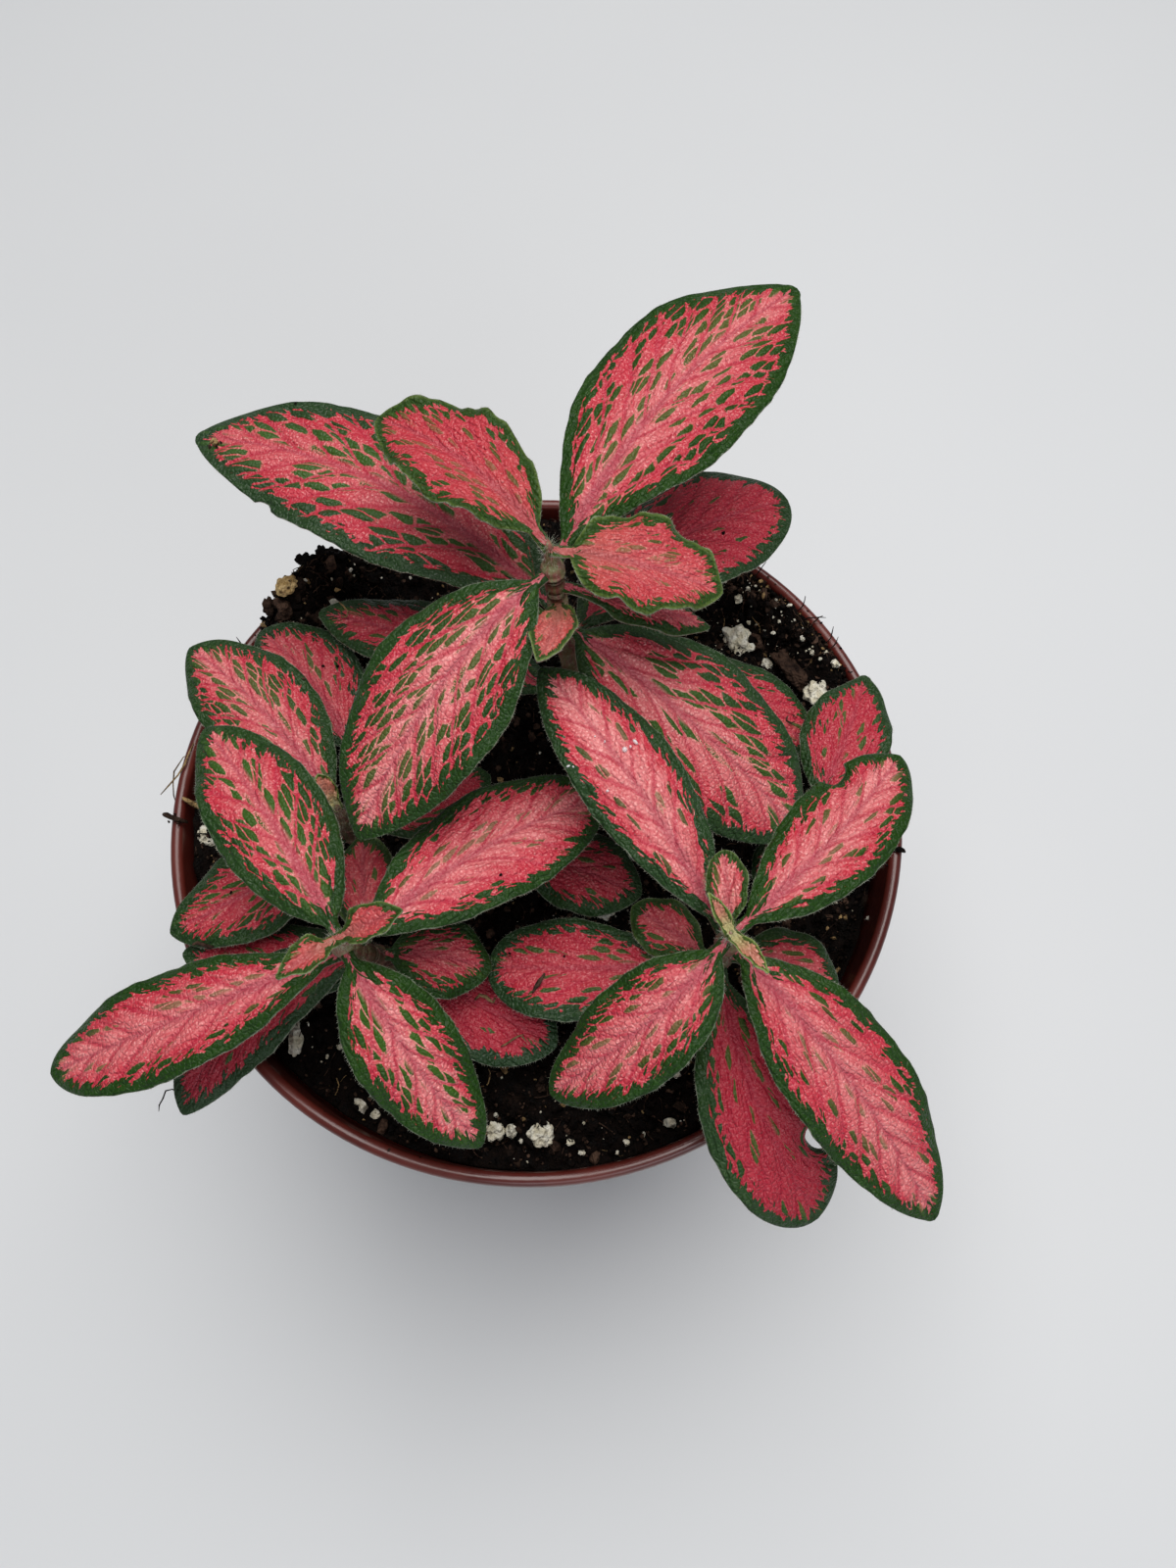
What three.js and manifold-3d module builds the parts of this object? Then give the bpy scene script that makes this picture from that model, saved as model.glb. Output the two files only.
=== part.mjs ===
// A young nerve plant in a small plastic nursery pot. Millimetres, +Z up.
// The origin is the centre of the pot's base, on the surface that it stands on.
import * as THREE from 'three';
import { mergeVertices } from 'three/addons/utils/BufferGeometryUtils.js';
import Module from 'manifold-3d';

const wasm = await Module();
wasm.setup();

// ---------------------------------------------------------------- driving dimensions
const POT_HEIGHT = 92;
const LIP_RADIUS = 52.5;        // outside of the rolled lip
const LIP_HALF_WIDTH = 0.9;
const LIP_BAND = 2.2;           // height of the upright band under the lip
const LIP_UNDERCUT = 0.5;       // how far the collar stands in under that band
const COLLAR_HEIGHT = 14;
const COLLAR_FOOT_RADIUS = 51.2;
const COLLAR_STEP = 1.5;        // how far the wall steps in under the collar
const INNER_STEP_RISE = 0.8;    // the inner step's top above the outer one's, and its foot below
const INNER_STEP_DROP = 0.4;
const BASE_RADIUS = 37;
const WALL = 1.1;
const FLOOR = 1.6;
const DRAIN_HOLES = 8;
const DRAIN_HOLE_RADIUS = 3.5;
const DRAIN_HOLE_SIDES = 12;
const DRAIN_CIRCLE_RADIUS = 27;
const POT_SIDES = 48;
const LIP_ARC_STEPS = 4;

const GAP = 0.3;                // clearance between pieces that touch
const SOIL_LEVEL = 86;          // at the middle of the pot
const SOIL_SLOPE_Y = 0.09;      // the soil rises to the rear
const SOIL_SLOPE_X = -0.03;
const SOIL_LOWEST = 79.6;
// Small waves in the soil's surface: height, waves along X and Y in radians a millimetre, start.
const SOIL_LUMPS = [[0.5, 0.42, 0.31, 1], [0.4, -0.36, 0.5, 0], [0.3, 0.9, -0.7, 2]];
const SOIL_HEAP = { x: -37, y: 35, height: 10.5, along: 11, across: 7.5, turn: 38 };
const SOIL_SIDES = 48;
const SOIL_RINGS = 10;

const STEM_SIDES = 8;
const STEM_STEPS = 6;
const STEM_FOOT_RADIUS = 1.7;
const STEM_TOP_RADIUS = 1.0;
const HOLE_CLEARANCE = 0.35;

const LEAF_THICKNESS = 0.7;
const NECK_SHARE = 0.12;         // the blade is up to twice as thick over this share at its foot
const PETIOLE_LENGTH = 2.5;
const PETIOLE_SHARE = 0.12;      // and no more than this share of the leaf
const PETIOLE_HALF_WIDTH = 0.8;
const TIP_HALF_WIDTH = 0.35;
const WAVE_POWER = 2.5;          // how closely the waves keep to the edge
const OTHER_EDGE_PHASE = 0.37;   // the right-hand edge's waves start this much later
// Rows and columns of a leaf's grid, by the leaf's length.
const LEAF_GRIDS = [
  { longerThan: 28, rows: 10, columns: 6 },
  { longerThan: 18, rows: 8, columns: 4 },
  { longerThan: 9.5, rows: 6, columns: 4 },
  { longerThan: 0, rows: 4, columns: 2 },
];

// ---------------------------------------------------------------- the plant's layout
// Each stem is a path from its foot in the soil to its growing tip.
const STEMS = {
  leafy_stem_tall: [[7.5, 9, 76], [6.5, 11.5, 100], [4.5, 15, 120], [3.8, 16.4, 133]],
  leafy_stem_left: [[-17.5, -21, 74], [-19, -23.5, 95], [-20.6, -26.5, 110], [-20.8, -27.2, 118.5]],
  leafy_stem_right: [[22.5, -22, 74], [24, -25, 95], [24.6, -26.4, 110], [24.4, -26.8, 119.5]],
  leafy_stem_left_rear: [[-23.5, -8, 76], [-24, -7, 92], [-24.8, -6.5, 100], [-25.2, -5.9, 106]],
  leafy_stem_left_back: [[-24, 3, 76], [-25, 3.5, 90], [-25.5, 4, 98]],
  leafy_stem_right_low: [[36.5, -6, 76], [38, -5, 90], [38.5, -4.5, 99]],
  leafy_stem_centre_low: [[-5, -6, 76], [-5, -6.5, 90], [-5, -7, 98]],
};

// What a leaf has unless its own entry says otherwise.
//   at     height on the stem where it grows    tip    where its point ends
//   width  across the widest place              arch   rise of its midrib over the straight line
//   bow    sideways bend of its midrib, + to the left as seen from the stem
//   fold   how far the halves rise from the midrib, curl how far their edges turn down again
//   wave   height of the waves along the edge, waves their number, phase where they start
//   heel, point   how slowly the outline opens at the stem and closes at the tip
//   cut    a piece missing from one edge
const LEAF = {
  arch: 2, bow: 0, fold: 1, curl: 1.5, wave: 0.5, waves: 3, phase: 0, heel: 0.95, point: 0.8, cut: null,
};

const LEAVES = {
  leafy_stem_tall: [
    { at: 130, tip: [2.4, 3.4, 128], width: 4.8, arch: 0.6, fold: 1.2, curl: 0.2, wave: 0.3, waves: 2 },
    { at: 131.5, tip: [-17.8, 35.4, 132], width: 13.4, arch: 1.5, bow: -1.8, fold: 2, curl: 1, wave: 1,
      phase: 0.2, heel: 0.8 },
    { at: 131.5, tip: [24.3, 12, 128.5], width: 12.8, arch: 1.2, bow: 0.3, fold: 2, curl: 1, wave: 1,
      phase: 0.6, heel: 0.7 },
    { at: 128, tip: [35.5, 56, 132], width: 20.6, bow: 2.8, phase: 0.1, heel: 1.1, point: 0.9 },
    { at: 128, tip: [-20.4, -12.8, 112.5], width: 19.3, arch: 4, bow: -1.4, phase: 0.3, heel: 0.9,
      point: 0.85 },
    { at: 125, tip: [22.5, 9.5, 120], width: 5.5, arch: 1 },
    { at: 119, tip: [-46.1, 44.3, 118], width: 20.5, arch: 2.5, bow: -4.5, phase: 0.5, heel: 1 },
    { at: 117.5, tip: [35.8, -8.6, 102], width: 20.5, arch: 4, phase: 0.8, heel: 0.8, point: 0.7 },
    { at: 113, tip: [36.6, 39.8, 108], width: 17, arch: 1.5, bow: 2.8 },
    { at: 101, tip: [-31.5, 26.5, 100.5], width: 12, arch: 1, bow: -1 },
    { at: 101, tip: [41.5, 7, 92.5], width: 15, bow: 4 },
  ],
  leafy_stem_left: [
    { at: 118, tip: [-12.8, -24.5, 121], width: 4.2, arch: 0.5, curl: 0, wave: 0.2 },
    { at: 118, tip: [-26.7, -32.1, 120], width: 3.6, arch: 0.5, curl: 0, wave: 0.2 },
    { at: 115, tip: [-41.2, 2.1, 113], width: 14.2, arch: 2.5, bow: -0.8, phase: 0.1, heel: 0.75 },
    { at: 115, tip: [-5.2, -48.3, 100], width: 12.6, arch: 3.5, bow: -0.8, phase: 0.4, heel: 0.75 },
    { at: 111, tip: [9.5, -5, 106], width: 15.2, bow: 1.6, phase: 0.4, heel: 0.8, point: 0.6 },
    { at: 111, tip: [-60, -39.4, 100], width: 12.6, arch: 2.7, bow: 0.6, phase: 0.7, heel: 0.9,
      point: 0.65 },
    { at: 105, tip: [-22.4, -8, 100.5], width: 9, arch: 1 },
    { at: 101, tip: [-5, -25.5, 96.5], width: 11, arch: 1.5, bow: 0.5, heel: 0.8 },
    { at: 98.5, tip: [-45.5, -43.4, 91], width: 12, arch: 3, bow: -4.5 },
    { at: 94, tip: [-47.2, -22.6, 94.2], width: 11, arch: 0.5, bow: 1, heel: 0.8 },
    { at: 92, tip: [3.3, -34.2, 88], width: 14, arch: 1 },
  ],
  leafy_stem_right: [
    { at: 118.7, tip: [21.8, -22.8, 121.5], width: 2.6, arch: 0.2, fold: 0.6, curl: 0, wave: 0.1 },
    { at: 118.7, tip: [28.2, -31.8, 120.5], width: 2.8, arch: 0.4, fold: 0.6, curl: 0, wave: 0.1 },
    { at: 116, tip: [24.1, -16.5, 118], width: 5, arch: 0.5, fold: 1.2, curl: 0 },
    { at: 117, tip: [47.4, -2.2, 112.5], width: 12.6, arch: 1.8, bow: -1.2, phase: 0.6, heel: 0.85,
      point: 0.7, cut: { at: 0.75, half: 0.04, depth: 1.6, side: 1 } },
    { at: 117, tip: [3.4, -42.7, 105], width: 12.6, arch: 3.5, bow: 1.8, phase: 0.9, heel: 0.7, point: 0.7 },
    { at: 113.5, tip: [2.2, 7, 119.5], width: 12.6, arch: 2, bow: -1.2, phase: 0.2, heel: 0.9 },
    { at: 113.5, tip: [50, -56.9, 95.5], width: 14.2, arch: 3.8, bow: 1, phase: 0.3, heel: 0.8 },
    { at: 104, tip: [36, -57, 92], width: 15, arch: 4, bow: -2.8, phase: 0.5, heel: 0.9, point: 0.6,
      cut: { at: 0.7, half: 0.055, depth: 3.2, side: 1 } },
    { at: 104, tip: [39.5, -29, 101], width: 9.5, arch: 1, bow: 1, heel: 0.9 },
    { at: 99, tip: [13.6, -17.9, 99.5], width: 8, arch: 1 },
    { at: 95.5, tip: [-5.7, -24.8, 95], width: 13.8, arch: 1.5, bow: 0.6, heel: 1, point: 0.6 },
  ],
  leafy_stem_left_rear: [
    { at: 105, tip: [-27.2, -2.6, 109], width: 2.8, arch: 0.2, fold: 0.6, curl: 0 },
    { at: 103, tip: [-49.2, 20, 102], width: 15, bow: -1.5, heel: 0.9 },
    { at: 98, tip: [-48.4, -20.4, 96.5], width: 13, arch: 1.5, bow: 1, heel: 0.8 },
    { at: 98, tip: [-6, 2, 97], width: 12, arch: 1.5, heel: 0.8 },
  ],
  leafy_stem_left_back: [
    { at: 96, tip: [-41, 25, 97.5], width: 15, arch: 1.5, bow: -2 },
    { at: 96, tip: [-17, 17, 95.5], width: 8, arch: 1 },
  ],
  leafy_stem_right_low: [
    { at: 97, tip: [48, 17.5, 96.5], width: 12.6, arch: 1.5, bow: -0.5, point: 1 },
    { at: 96, tip: [31, -14, 94], width: 7, arch: 1 },
  ],
  leafy_stem_centre_low: [
    { at: 95, tip: [15, -15, 95], width: 12, arch: 1 },
    { at: 94, tip: [-14.5, 4, 93], width: 7, arch: 1 },
  ],
};

// Loose grains on the soil: place in plan, size, and stretch along X, Y and Z.
const GRAINS = {
  perlite_1: { x: 31, y: 28.4, radius: 2.5, stretch: [0.9, 1.15, 0.75], turn: 20 },
  perlite_2: { x: 43, y: 19.4, radius: 2.6, stretch: [0.9, 1.25, 0.75], turn: -20 },
  perlite_3: { x: -46.2, y: -3.5, radius: 1.7, stretch: [1, 1.1, 0.8], turn: 0 },
  perlite_4: { x: 9.2, y: -14, radius: 1.9, stretch: [1.25, 0.9, 0.8], turn: -30 },
  perlite_5: { x: 1.2, y: -45.2, radius: 1.8, stretch: [1, 1.1, 0.8], turn: 40 },
  perlite_6: { x: -5.3, y: -44.6, radius: 1.5, stretch: [1, 1, 0.8], turn: 10 },
  perlite_7: { x: -33, y: -32.5, radius: 1.5, stretch: [0.8, 1.7, 0.7], turn: 0 },
  bark_chip: { x: 38.6, y: 23.2, radius: 2.2, stretch: [1.7, 0.75, 0.6], turn: -55 },
  bark_crumb: { x: -36.4, y: 30.6, radius: 1.7, stretch: [1.1, 0.9, 0.9], turn: 30 },
};
const GRAIN_RISE = 0.2;         // share of its radius that a grain's middle sits above the surface
const GRAIN_LUMPS = 0.14;
const SEAT_SPREAD = 1.6;        // a seat grows by this many times its clearance along the grain's rays

const POT_FINISH = { color: 0x7a2e22, roughness: 0.35, metalness: 0 };
const SOIL_FINISH = { color: 0x1c1411, roughness: 0.95, metalness: 0 };
const LEAF_FINISH = { color: 0xc94a5c, roughness: 0.55, metalness: 0 };
const PERLITE_FINISH = { color: 0xd8d2b8, roughness: 0.9, metalness: 0 };
const BARK_FINISH = { color: 0x4a3423, roughness: 0.9, metalness: 0 };

// ---------------------------------------------------------------- solids
// A closed geometry as a solid, with its faces turned outwards.
function solidOf(geometry) {
  const bare = geometry.clone();
  bare.deleteAttribute('normal');
  bare.deleteAttribute('uv');
  const merged = mergeVertices(bare, 1e-4);
  const position = merged.getAttribute('position');
  const corners = [];
  for (let i = 0; i < merged.index.count; i += 3) {
    const [a, b, c] = [0, 1, 2].map((k) => merged.index.getX(i + k));
    if (a !== b && b !== c && c !== a) corners.push([a, b, c]);
  }
  const [pa, pb, pc] = [new THREE.Vector3(), new THREE.Vector3(), new THREE.Vector3()];
  let volume = 0;
  for (const [a, b, c] of corners) {
    pa.fromBufferAttribute(position, a);
    pb.fromBufferAttribute(position, b);
    pc.fromBufferAttribute(position, c);
    volume += pa.dot(pb.cross(pc));
  }
  const outward = volume > 0 ? corners : corners.map(([a, b, c]) => [a, c, b]);
  return new wasm.Manifold(new wasm.Mesh({
    numProp: 3,
    vertProperties: new Float32Array(position.array),
    triVerts: new Uint32Array(outward.flat()),
  }));
}

// A mesh of one solid, with its name and its finish.
function meshOf(name, solid, finish) {
  const made = solid.getMesh();
  const geometry = new THREE.BufferGeometry();
  geometry.setAttribute('position', new THREE.BufferAttribute(made.vertProperties, made.numProp));
  geometry.setIndex(new THREE.BufferAttribute(made.triVerts, 1));
  geometry.computeVertexNormals();
  const mesh = new THREE.Mesh(geometry, new THREE.MeshStandardMaterial(finish));
  mesh.name = name;
  return mesh;
}

// A solid turned about +Z from a profile of [radius, height] points.
function turned(profile, sides) {
  const points = profile.map(([radius, height]) => new THREE.Vector2(radius, height));
  return solidOf(new THREE.LatheGeometry(points, sides).rotateX(Math.PI / 2));
}

// ---------------------------------------------------------------- pot
const stepHeight = POT_HEIGHT - COLLAR_HEIGHT;
const wallTopRadius = COLLAR_FOOT_RADIUS - COLLAR_STEP;
const innerStepTop = stepHeight + INNER_STEP_RISE;
const innerStepFoot = stepHeight - INNER_STEP_DROP;

// The inner face of the pot's wall at a height, up to the foot of the collar.
function innerWallRadius(z) {
  return BASE_RADIUS - WALL + (wallTopRadius - BASE_RADIUS) * z / stepHeight;
}

function makePot() {
  const lipMiddle = LIP_RADIUS - LIP_HALF_WIDTH;
  const lipArc = Array.from({ length: LIP_ARC_STEPS + 1 }, (_, i) => {
    const angle = Math.PI * i / LIP_ARC_STEPS;
    return [lipMiddle + LIP_HALF_WIDTH * Math.cos(angle),
      POT_HEIGHT - LIP_HALF_WIDTH + LIP_HALF_WIDTH * Math.sin(angle)];
  });
  const shell = turned([
    [0, 0],
    [BASE_RADIUS, 0],
    [wallTopRadius, stepHeight - WALL],
    [COLLAR_FOOT_RADIUS, stepHeight],
    [LIP_RADIUS - LIP_UNDERCUT, POT_HEIGHT - LIP_BAND - LIP_UNDERCUT],
    [LIP_RADIUS, POT_HEIGHT - LIP_BAND],
    ...lipArc,
    [COLLAR_FOOT_RADIUS - WALL, innerStepTop],
    [innerWallRadius(stepHeight), innerStepFoot],
    [innerWallRadius(FLOOR), FLOOR],
    [0, FLOOR],
  ], POT_SIDES);
  let pot = shell;
  for (let i = 0; i < DRAIN_HOLES; i += 1) {
    const angle = 2 * Math.PI * i / DRAIN_HOLES;
    const drill = new THREE.CylinderGeometry(
      DRAIN_HOLE_RADIUS,
      DRAIN_HOLE_RADIUS,
      3 * FLOOR,
      DRAIN_HOLE_SIDES,
    );
    drill.rotateX(Math.PI / 2);
    drill.translate(
      DRAIN_CIRCLE_RADIUS * Math.cos(angle),
      DRAIN_CIRCLE_RADIUS * Math.sin(angle),
      FLOOR / 2,
    );
    pot = pot.subtract(solidOf(drill));
  }
  return pot;
}

// ---------------------------------------------------------------- soil
// Height of the soil's surface over a point in plan.
function soilHeight(x, y) {
  const turn = THREE.MathUtils.degToRad(SOIL_HEAP.turn);
  const u = (x - SOIL_HEAP.x) * Math.cos(turn) + (y - SOIL_HEAP.y) * Math.sin(turn);
  const v = (y - SOIL_HEAP.y) * Math.cos(turn) - (x - SOIL_HEAP.x) * Math.sin(turn);
  const heap = SOIL_HEAP.height * Math.exp(-((u / SOIL_HEAP.along) ** 2) - (v / SOIL_HEAP.across) ** 2);
  let height = SOIL_LEVEL + SOIL_SLOPE_X * x + SOIL_SLOPE_Y * y + heap;
  for (const [rise, alongX, alongY, start] of SOIL_LUMPS) {
    height += rise * Math.sin(alongX * x + alongY * y + start);
  }
  return Math.max(SOIL_LOWEST, height);
}

function makeSoil() {
  const edge = COLLAR_FOOT_RADIUS - WALL - GAP;
  const rings = [];
  for (let i = 1; i <= SOIL_RINGS; i += 1) {
    rings.push({ radius: edge * i / SOIL_RINGS, height: null });
  }
  rings.push({ radius: edge, height: innerStepTop + GAP });
  rings.push({ radius: innerWallRadius(stepHeight) - GAP, height: innerStepFoot });
  rings.push({ radius: innerWallRadius(FLOOR + GAP) - GAP, height: FLOOR + GAP });
  const corners = [0, 0, soilHeight(0, 0)];
  for (const { radius, height } of rings) {
    for (let j = 0; j < SOIL_SIDES; j += 1) {
      const angle = 2 * Math.PI * j / SOIL_SIDES;
      const x = radius * Math.cos(angle);
      const y = radius * Math.sin(angle);
      corners.push(x, y, height ?? soilHeight(x, y));
    }
  }
  const bottom = corners.length / 3;
  corners.push(0, 0, FLOOR + GAP);
  const faces = [];
  const at = (ring, j) => 1 + ring * SOIL_SIDES + j % SOIL_SIDES;
  for (let j = 0; j < SOIL_SIDES; j += 1) {
    faces.push(0, at(0, j), at(0, j + 1));
    faces.push(bottom, at(rings.length - 1, j + 1), at(rings.length - 1, j));
    for (let ring = 0; ring + 1 < rings.length; ring += 1) {
      faces.push(at(ring, j), at(ring + 1, j), at(ring + 1, j + 1));
      faces.push(at(ring, j), at(ring + 1, j + 1), at(ring, j + 1));
    }
  }
  return solidOf(geometryOf(corners, faces));
}

function geometryOf(corners, faces) {
  const geometry = new THREE.BufferGeometry();
  geometry.setAttribute('position', new THREE.Float32BufferAttribute(corners, 3));
  geometry.setIndex(faces);
  return geometry;
}

// ---------------------------------------------------------------- grains
// A lumpy stone, grown by clearance all round when it cuts its own seat in the soil.
function makeGrain({ x, y, radius, stretch, turn }, clearance = 0) {
  const stone = new THREE.IcosahedronGeometry(1, 1);
  const position = stone.getAttribute('position');
  const corner = new THREE.Vector3();
  for (let i = 0; i < position.count; i += 1) {
    corner.fromBufferAttribute(position, i);
    const lump = 1 + GRAIN_LUMPS * Math.sin(5 * corner.x + 3 * x) * Math.cos(4 * corner.y + 2 * y);
    corner.multiplyScalar(radius * lump);
    corner.multiply(new THREE.Vector3(...stretch));
    corner.addScaledVector(corner.clone().normalize(), SEAT_SPREAD * clearance);
    position.setXYZ(i, corner.x, corner.y, corner.z);
  }
  stone.rotateZ(THREE.MathUtils.degToRad(turn));
  stone.translate(x, y, soilHeight(x, y) + GRAIN_RISE * radius * stretch[2]);
  return solidOf(stone);
}

// ---------------------------------------------------------------- stems
// The point of a stem's path at a height.
function stemPoint(path, height) {
  let upper = path.findIndex(([, , z]) => z >= height);
  if (upper < 0) upper = path.length - 1;
  const [a, b] = [path[Math.max(upper - 1, 0)], path[Math.max(upper, 1)]];
  const share = (height - a[2]) / (b[2] - a[2]);
  return new THREE.Vector3(...a).lerp(new THREE.Vector3(...b), share);
}

function makeStem(path, extra = 0) {
  const foot = path[0][2] - extra;
  const top = path[path.length - 1][2];
  const corners = [];
  for (let i = 0; i <= STEM_STEPS; i += 1) {
    const share = i / STEM_STEPS;
    const height = foot + (top - foot) * share;
    const middle = stemPoint(path, height);
    const radius = STEM_FOOT_RADIUS + (STEM_TOP_RADIUS - STEM_FOOT_RADIUS) * share + extra;
    for (let j = 0; j < STEM_SIDES; j += 1) {
      const angle = 2 * Math.PI * j / STEM_SIDES;
      corners.push(middle.x + radius * Math.cos(angle), middle.y + radius * Math.sin(angle), height);
    }
  }
  const faces = [];
  const at = (ring, j) => ring * STEM_SIDES + j % STEM_SIDES;
  for (let j = 0; j < STEM_SIDES; j += 1) {
    for (let i = 0; i < STEM_STEPS; i += 1) {
      faces.push(at(i, j), at(i, j + 1), at(i + 1, j + 1));
      faces.push(at(i, j), at(i + 1, j + 1), at(i + 1, j));
    }
    if (j > 1) {
      faces.push(at(0, 0), at(0, j), at(0, j - 1));
      faces.push(at(STEM_STEPS, 0), at(STEM_STEPS, j - 1), at(STEM_STEPS, j));
    }
  }
  return solidOf(geometryOf(corners, faces));
}

// ---------------------------------------------------------------- leaves
// Share of the full half width at a share of the blade's length.
function outline(share, heel, point) {
  const s = THREE.MathUtils.clamp(share, 0, 1);
  const peak = heel / (heel + point);
  return (s / peak) ** heel * ((1 - s) / (1 - peak)) ** point;
}

// How much of the half width is missing at a cut in the edge, in millimetres.
function missing(cut, t, v) {
  if (!cut || Math.sign(v) !== cut.side) return 0;
  const off = (t - cut.at) / cut.half;
  return Math.abs(off) < 1 ? cut.depth * Math.sqrt(1 - off * off) : 0;
}

// Middle, sideways and upward directions and half width of a leaf at a share t of its length.
function leafFrame(leaf, base, t) {
  const chord = new THREE.Vector3(...leaf.tip).sub(base);
  const length = chord.length();
  const aside = new THREE.Vector3(-chord.y, chord.x, 0).normalize();
  const hump = 4 * t * (1 - t);
  const lean = 4 * (1 - 2 * t);
  const middle = base.clone().addScaledVector(chord, t).addScaledVector(aside, leaf.bow * hump);
  middle.z += leaf.arch * hump;
  const along = chord.clone().addScaledVector(aside, leaf.bow * lean);
  along.z += leaf.arch * lean;
  along.normalize();
  const across = new THREE.Vector3(0, 0, 1).cross(along).normalize();
  const up = along.clone().cross(across);
  const petiole = Math.min(PETIOLE_LENGTH / length, PETIOLE_SHARE);
  const share = outline((t - petiole) / (1 - petiole), leaf.heel, leaf.point);
  const stalk = Math.min(PETIOLE_HALF_WIDTH, (1 - t) * length / 2);
  const half = Math.max(share * leaf.width / 2, stalk, TIP_HALF_WIDTH);
  return { middle, across, up, share, half };
}

// A point in the middle of the blade's thickness: t from stem to tip, v from -1 to 1 across.
function leafPoint(leaf, base, t, v) {
  const { middle, across, up, share, half } = leafFrame(leaf, base, t);
  const side = v > 0 ? 0 : OTHER_EDGE_PHASE;
  const wave = Math.sin(2 * Math.PI * (leaf.waves * t + leaf.phase + side));
  const waveHeight = leaf.wave * Math.abs(v) ** WAVE_POWER * Math.min(1.5 * share, 1);
  const lift = share * (leaf.fold * Math.abs(v) - leaf.curl * v * v) + waveHeight * wave;
  const reach = Math.abs(v) * half - missing(leaf.cut, t, v) * v * v;
  return middle.addScaledVector(across, Math.sign(v) * reach).addScaledVector(up, lift);
}

// Shares of the length where the blade's grid has a row, closer together at a cut.
function leafRows(leaf, steps) {
  const rows = Array.from({ length: steps + 1 }, (_, i) => i / steps);
  if (!leaf.cut) return rows;
  const { at, half } = leaf.cut;
  const clear = rows.filter((t) => Math.abs(t - at) > 1.4 * half);
  const atCut = [-1, -0.7, 0, 0.7, 1].map((share) => at + share * half);
  return [...clear, ...atCut].sort((a, b) => a - b);
}

function makeLeaf(entry, path) {
  const leaf = { ...LEAF, ...entry };
  const base = stemPoint(path, leaf.at);
  const length = base.distanceTo(new THREE.Vector3(...leaf.tip));
  const grid = LEAF_GRIDS.find(({ longerThan }) => length > longerThan);
  const { columns } = grid;
  const rows = leafRows(leaf, grid.rows);
  const corners = [];
  for (const sign of [1, -1]) {
    for (const t of rows) {
      const { up } = leafFrame(leaf, base, t);
      const thick = LEAF_THICKNESS * (1 + Math.max(0, 1 - t / NECK_SHARE));
      for (let j = 0; j <= columns; j += 1) {
        const point = leafPoint(leaf, base, t, 2 * j / columns - 1);
        point.addScaledVector(up, sign * thick / 2);
        corners.push(point.x, point.y, point.z);
      }
    }
  }
  const last = rows.length - 1;
  const under = rows.length * (columns + 1);
  const at = (i, j) => i * (columns + 1) + j;
  const faces = [];
  const quad = (a, b, c, d) => faces.push(a, b, c, a, c, d);
  for (let i = 0; i < last; i += 1) {
    for (let j = 0; j < columns; j += 1) {
      quad(at(i, j), at(i + 1, j), at(i + 1, j + 1), at(i, j + 1));
      faces.push(under + at(i, j), under + at(i + 1, j + 1), under + at(i + 1, j));
      faces.push(under + at(i, j), under + at(i, j + 1), under + at(i + 1, j + 1));
    }
    quad(at(i, 0), under + at(i, 0), under + at(i + 1, 0), at(i + 1, 0));
    quad(at(i, columns), at(i + 1, columns), under + at(i + 1, columns), under + at(i, columns));
  }
  for (let j = 0; j < columns; j += 1) {
    quad(at(0, j), at(0, j + 1), under + at(0, j + 1), under + at(0, j));
    quad(at(last, j), under + at(last, j), under + at(last, j + 1), at(last, j + 1));
  }
  return solidOf(geometryOf(corners, faces));
}

// ---------------------------------------------------------------- assembly
const plant = new THREE.Group();

plant.add(meshOf('pot', makePot(), POT_FINISH));

let soil = makeSoil();
for (const path of Object.values(STEMS)) {
  soil = soil.subtract(makeStem(path, HOLE_CLEARANCE));
}
for (const grain of Object.values(GRAINS)) {
  soil = soil.subtract(makeGrain(grain, GAP));
}
plant.add(meshOf('soil', soil, SOIL_FINISH));

for (const [name, path] of Object.entries(STEMS)) {
  let leafyStem = makeStem(path);
  for (const entry of LEAVES[name]) {
    leafyStem = leafyStem.add(makeLeaf(entry, path));
  }
  plant.add(meshOf(name, leafyStem, LEAF_FINISH));
}

for (const [name, grain] of Object.entries(GRAINS)) {
  const finish = name.startsWith('perlite') ? PERLITE_FINISH : BARK_FINISH;
  plant.add(meshOf(name, makeGrain(grain), finish));
}

export default plant;
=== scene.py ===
import math
from collections import namedtuple

import bmesh
import bpy
import numpy as np
from mathutils import Matrix, Vector


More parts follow.
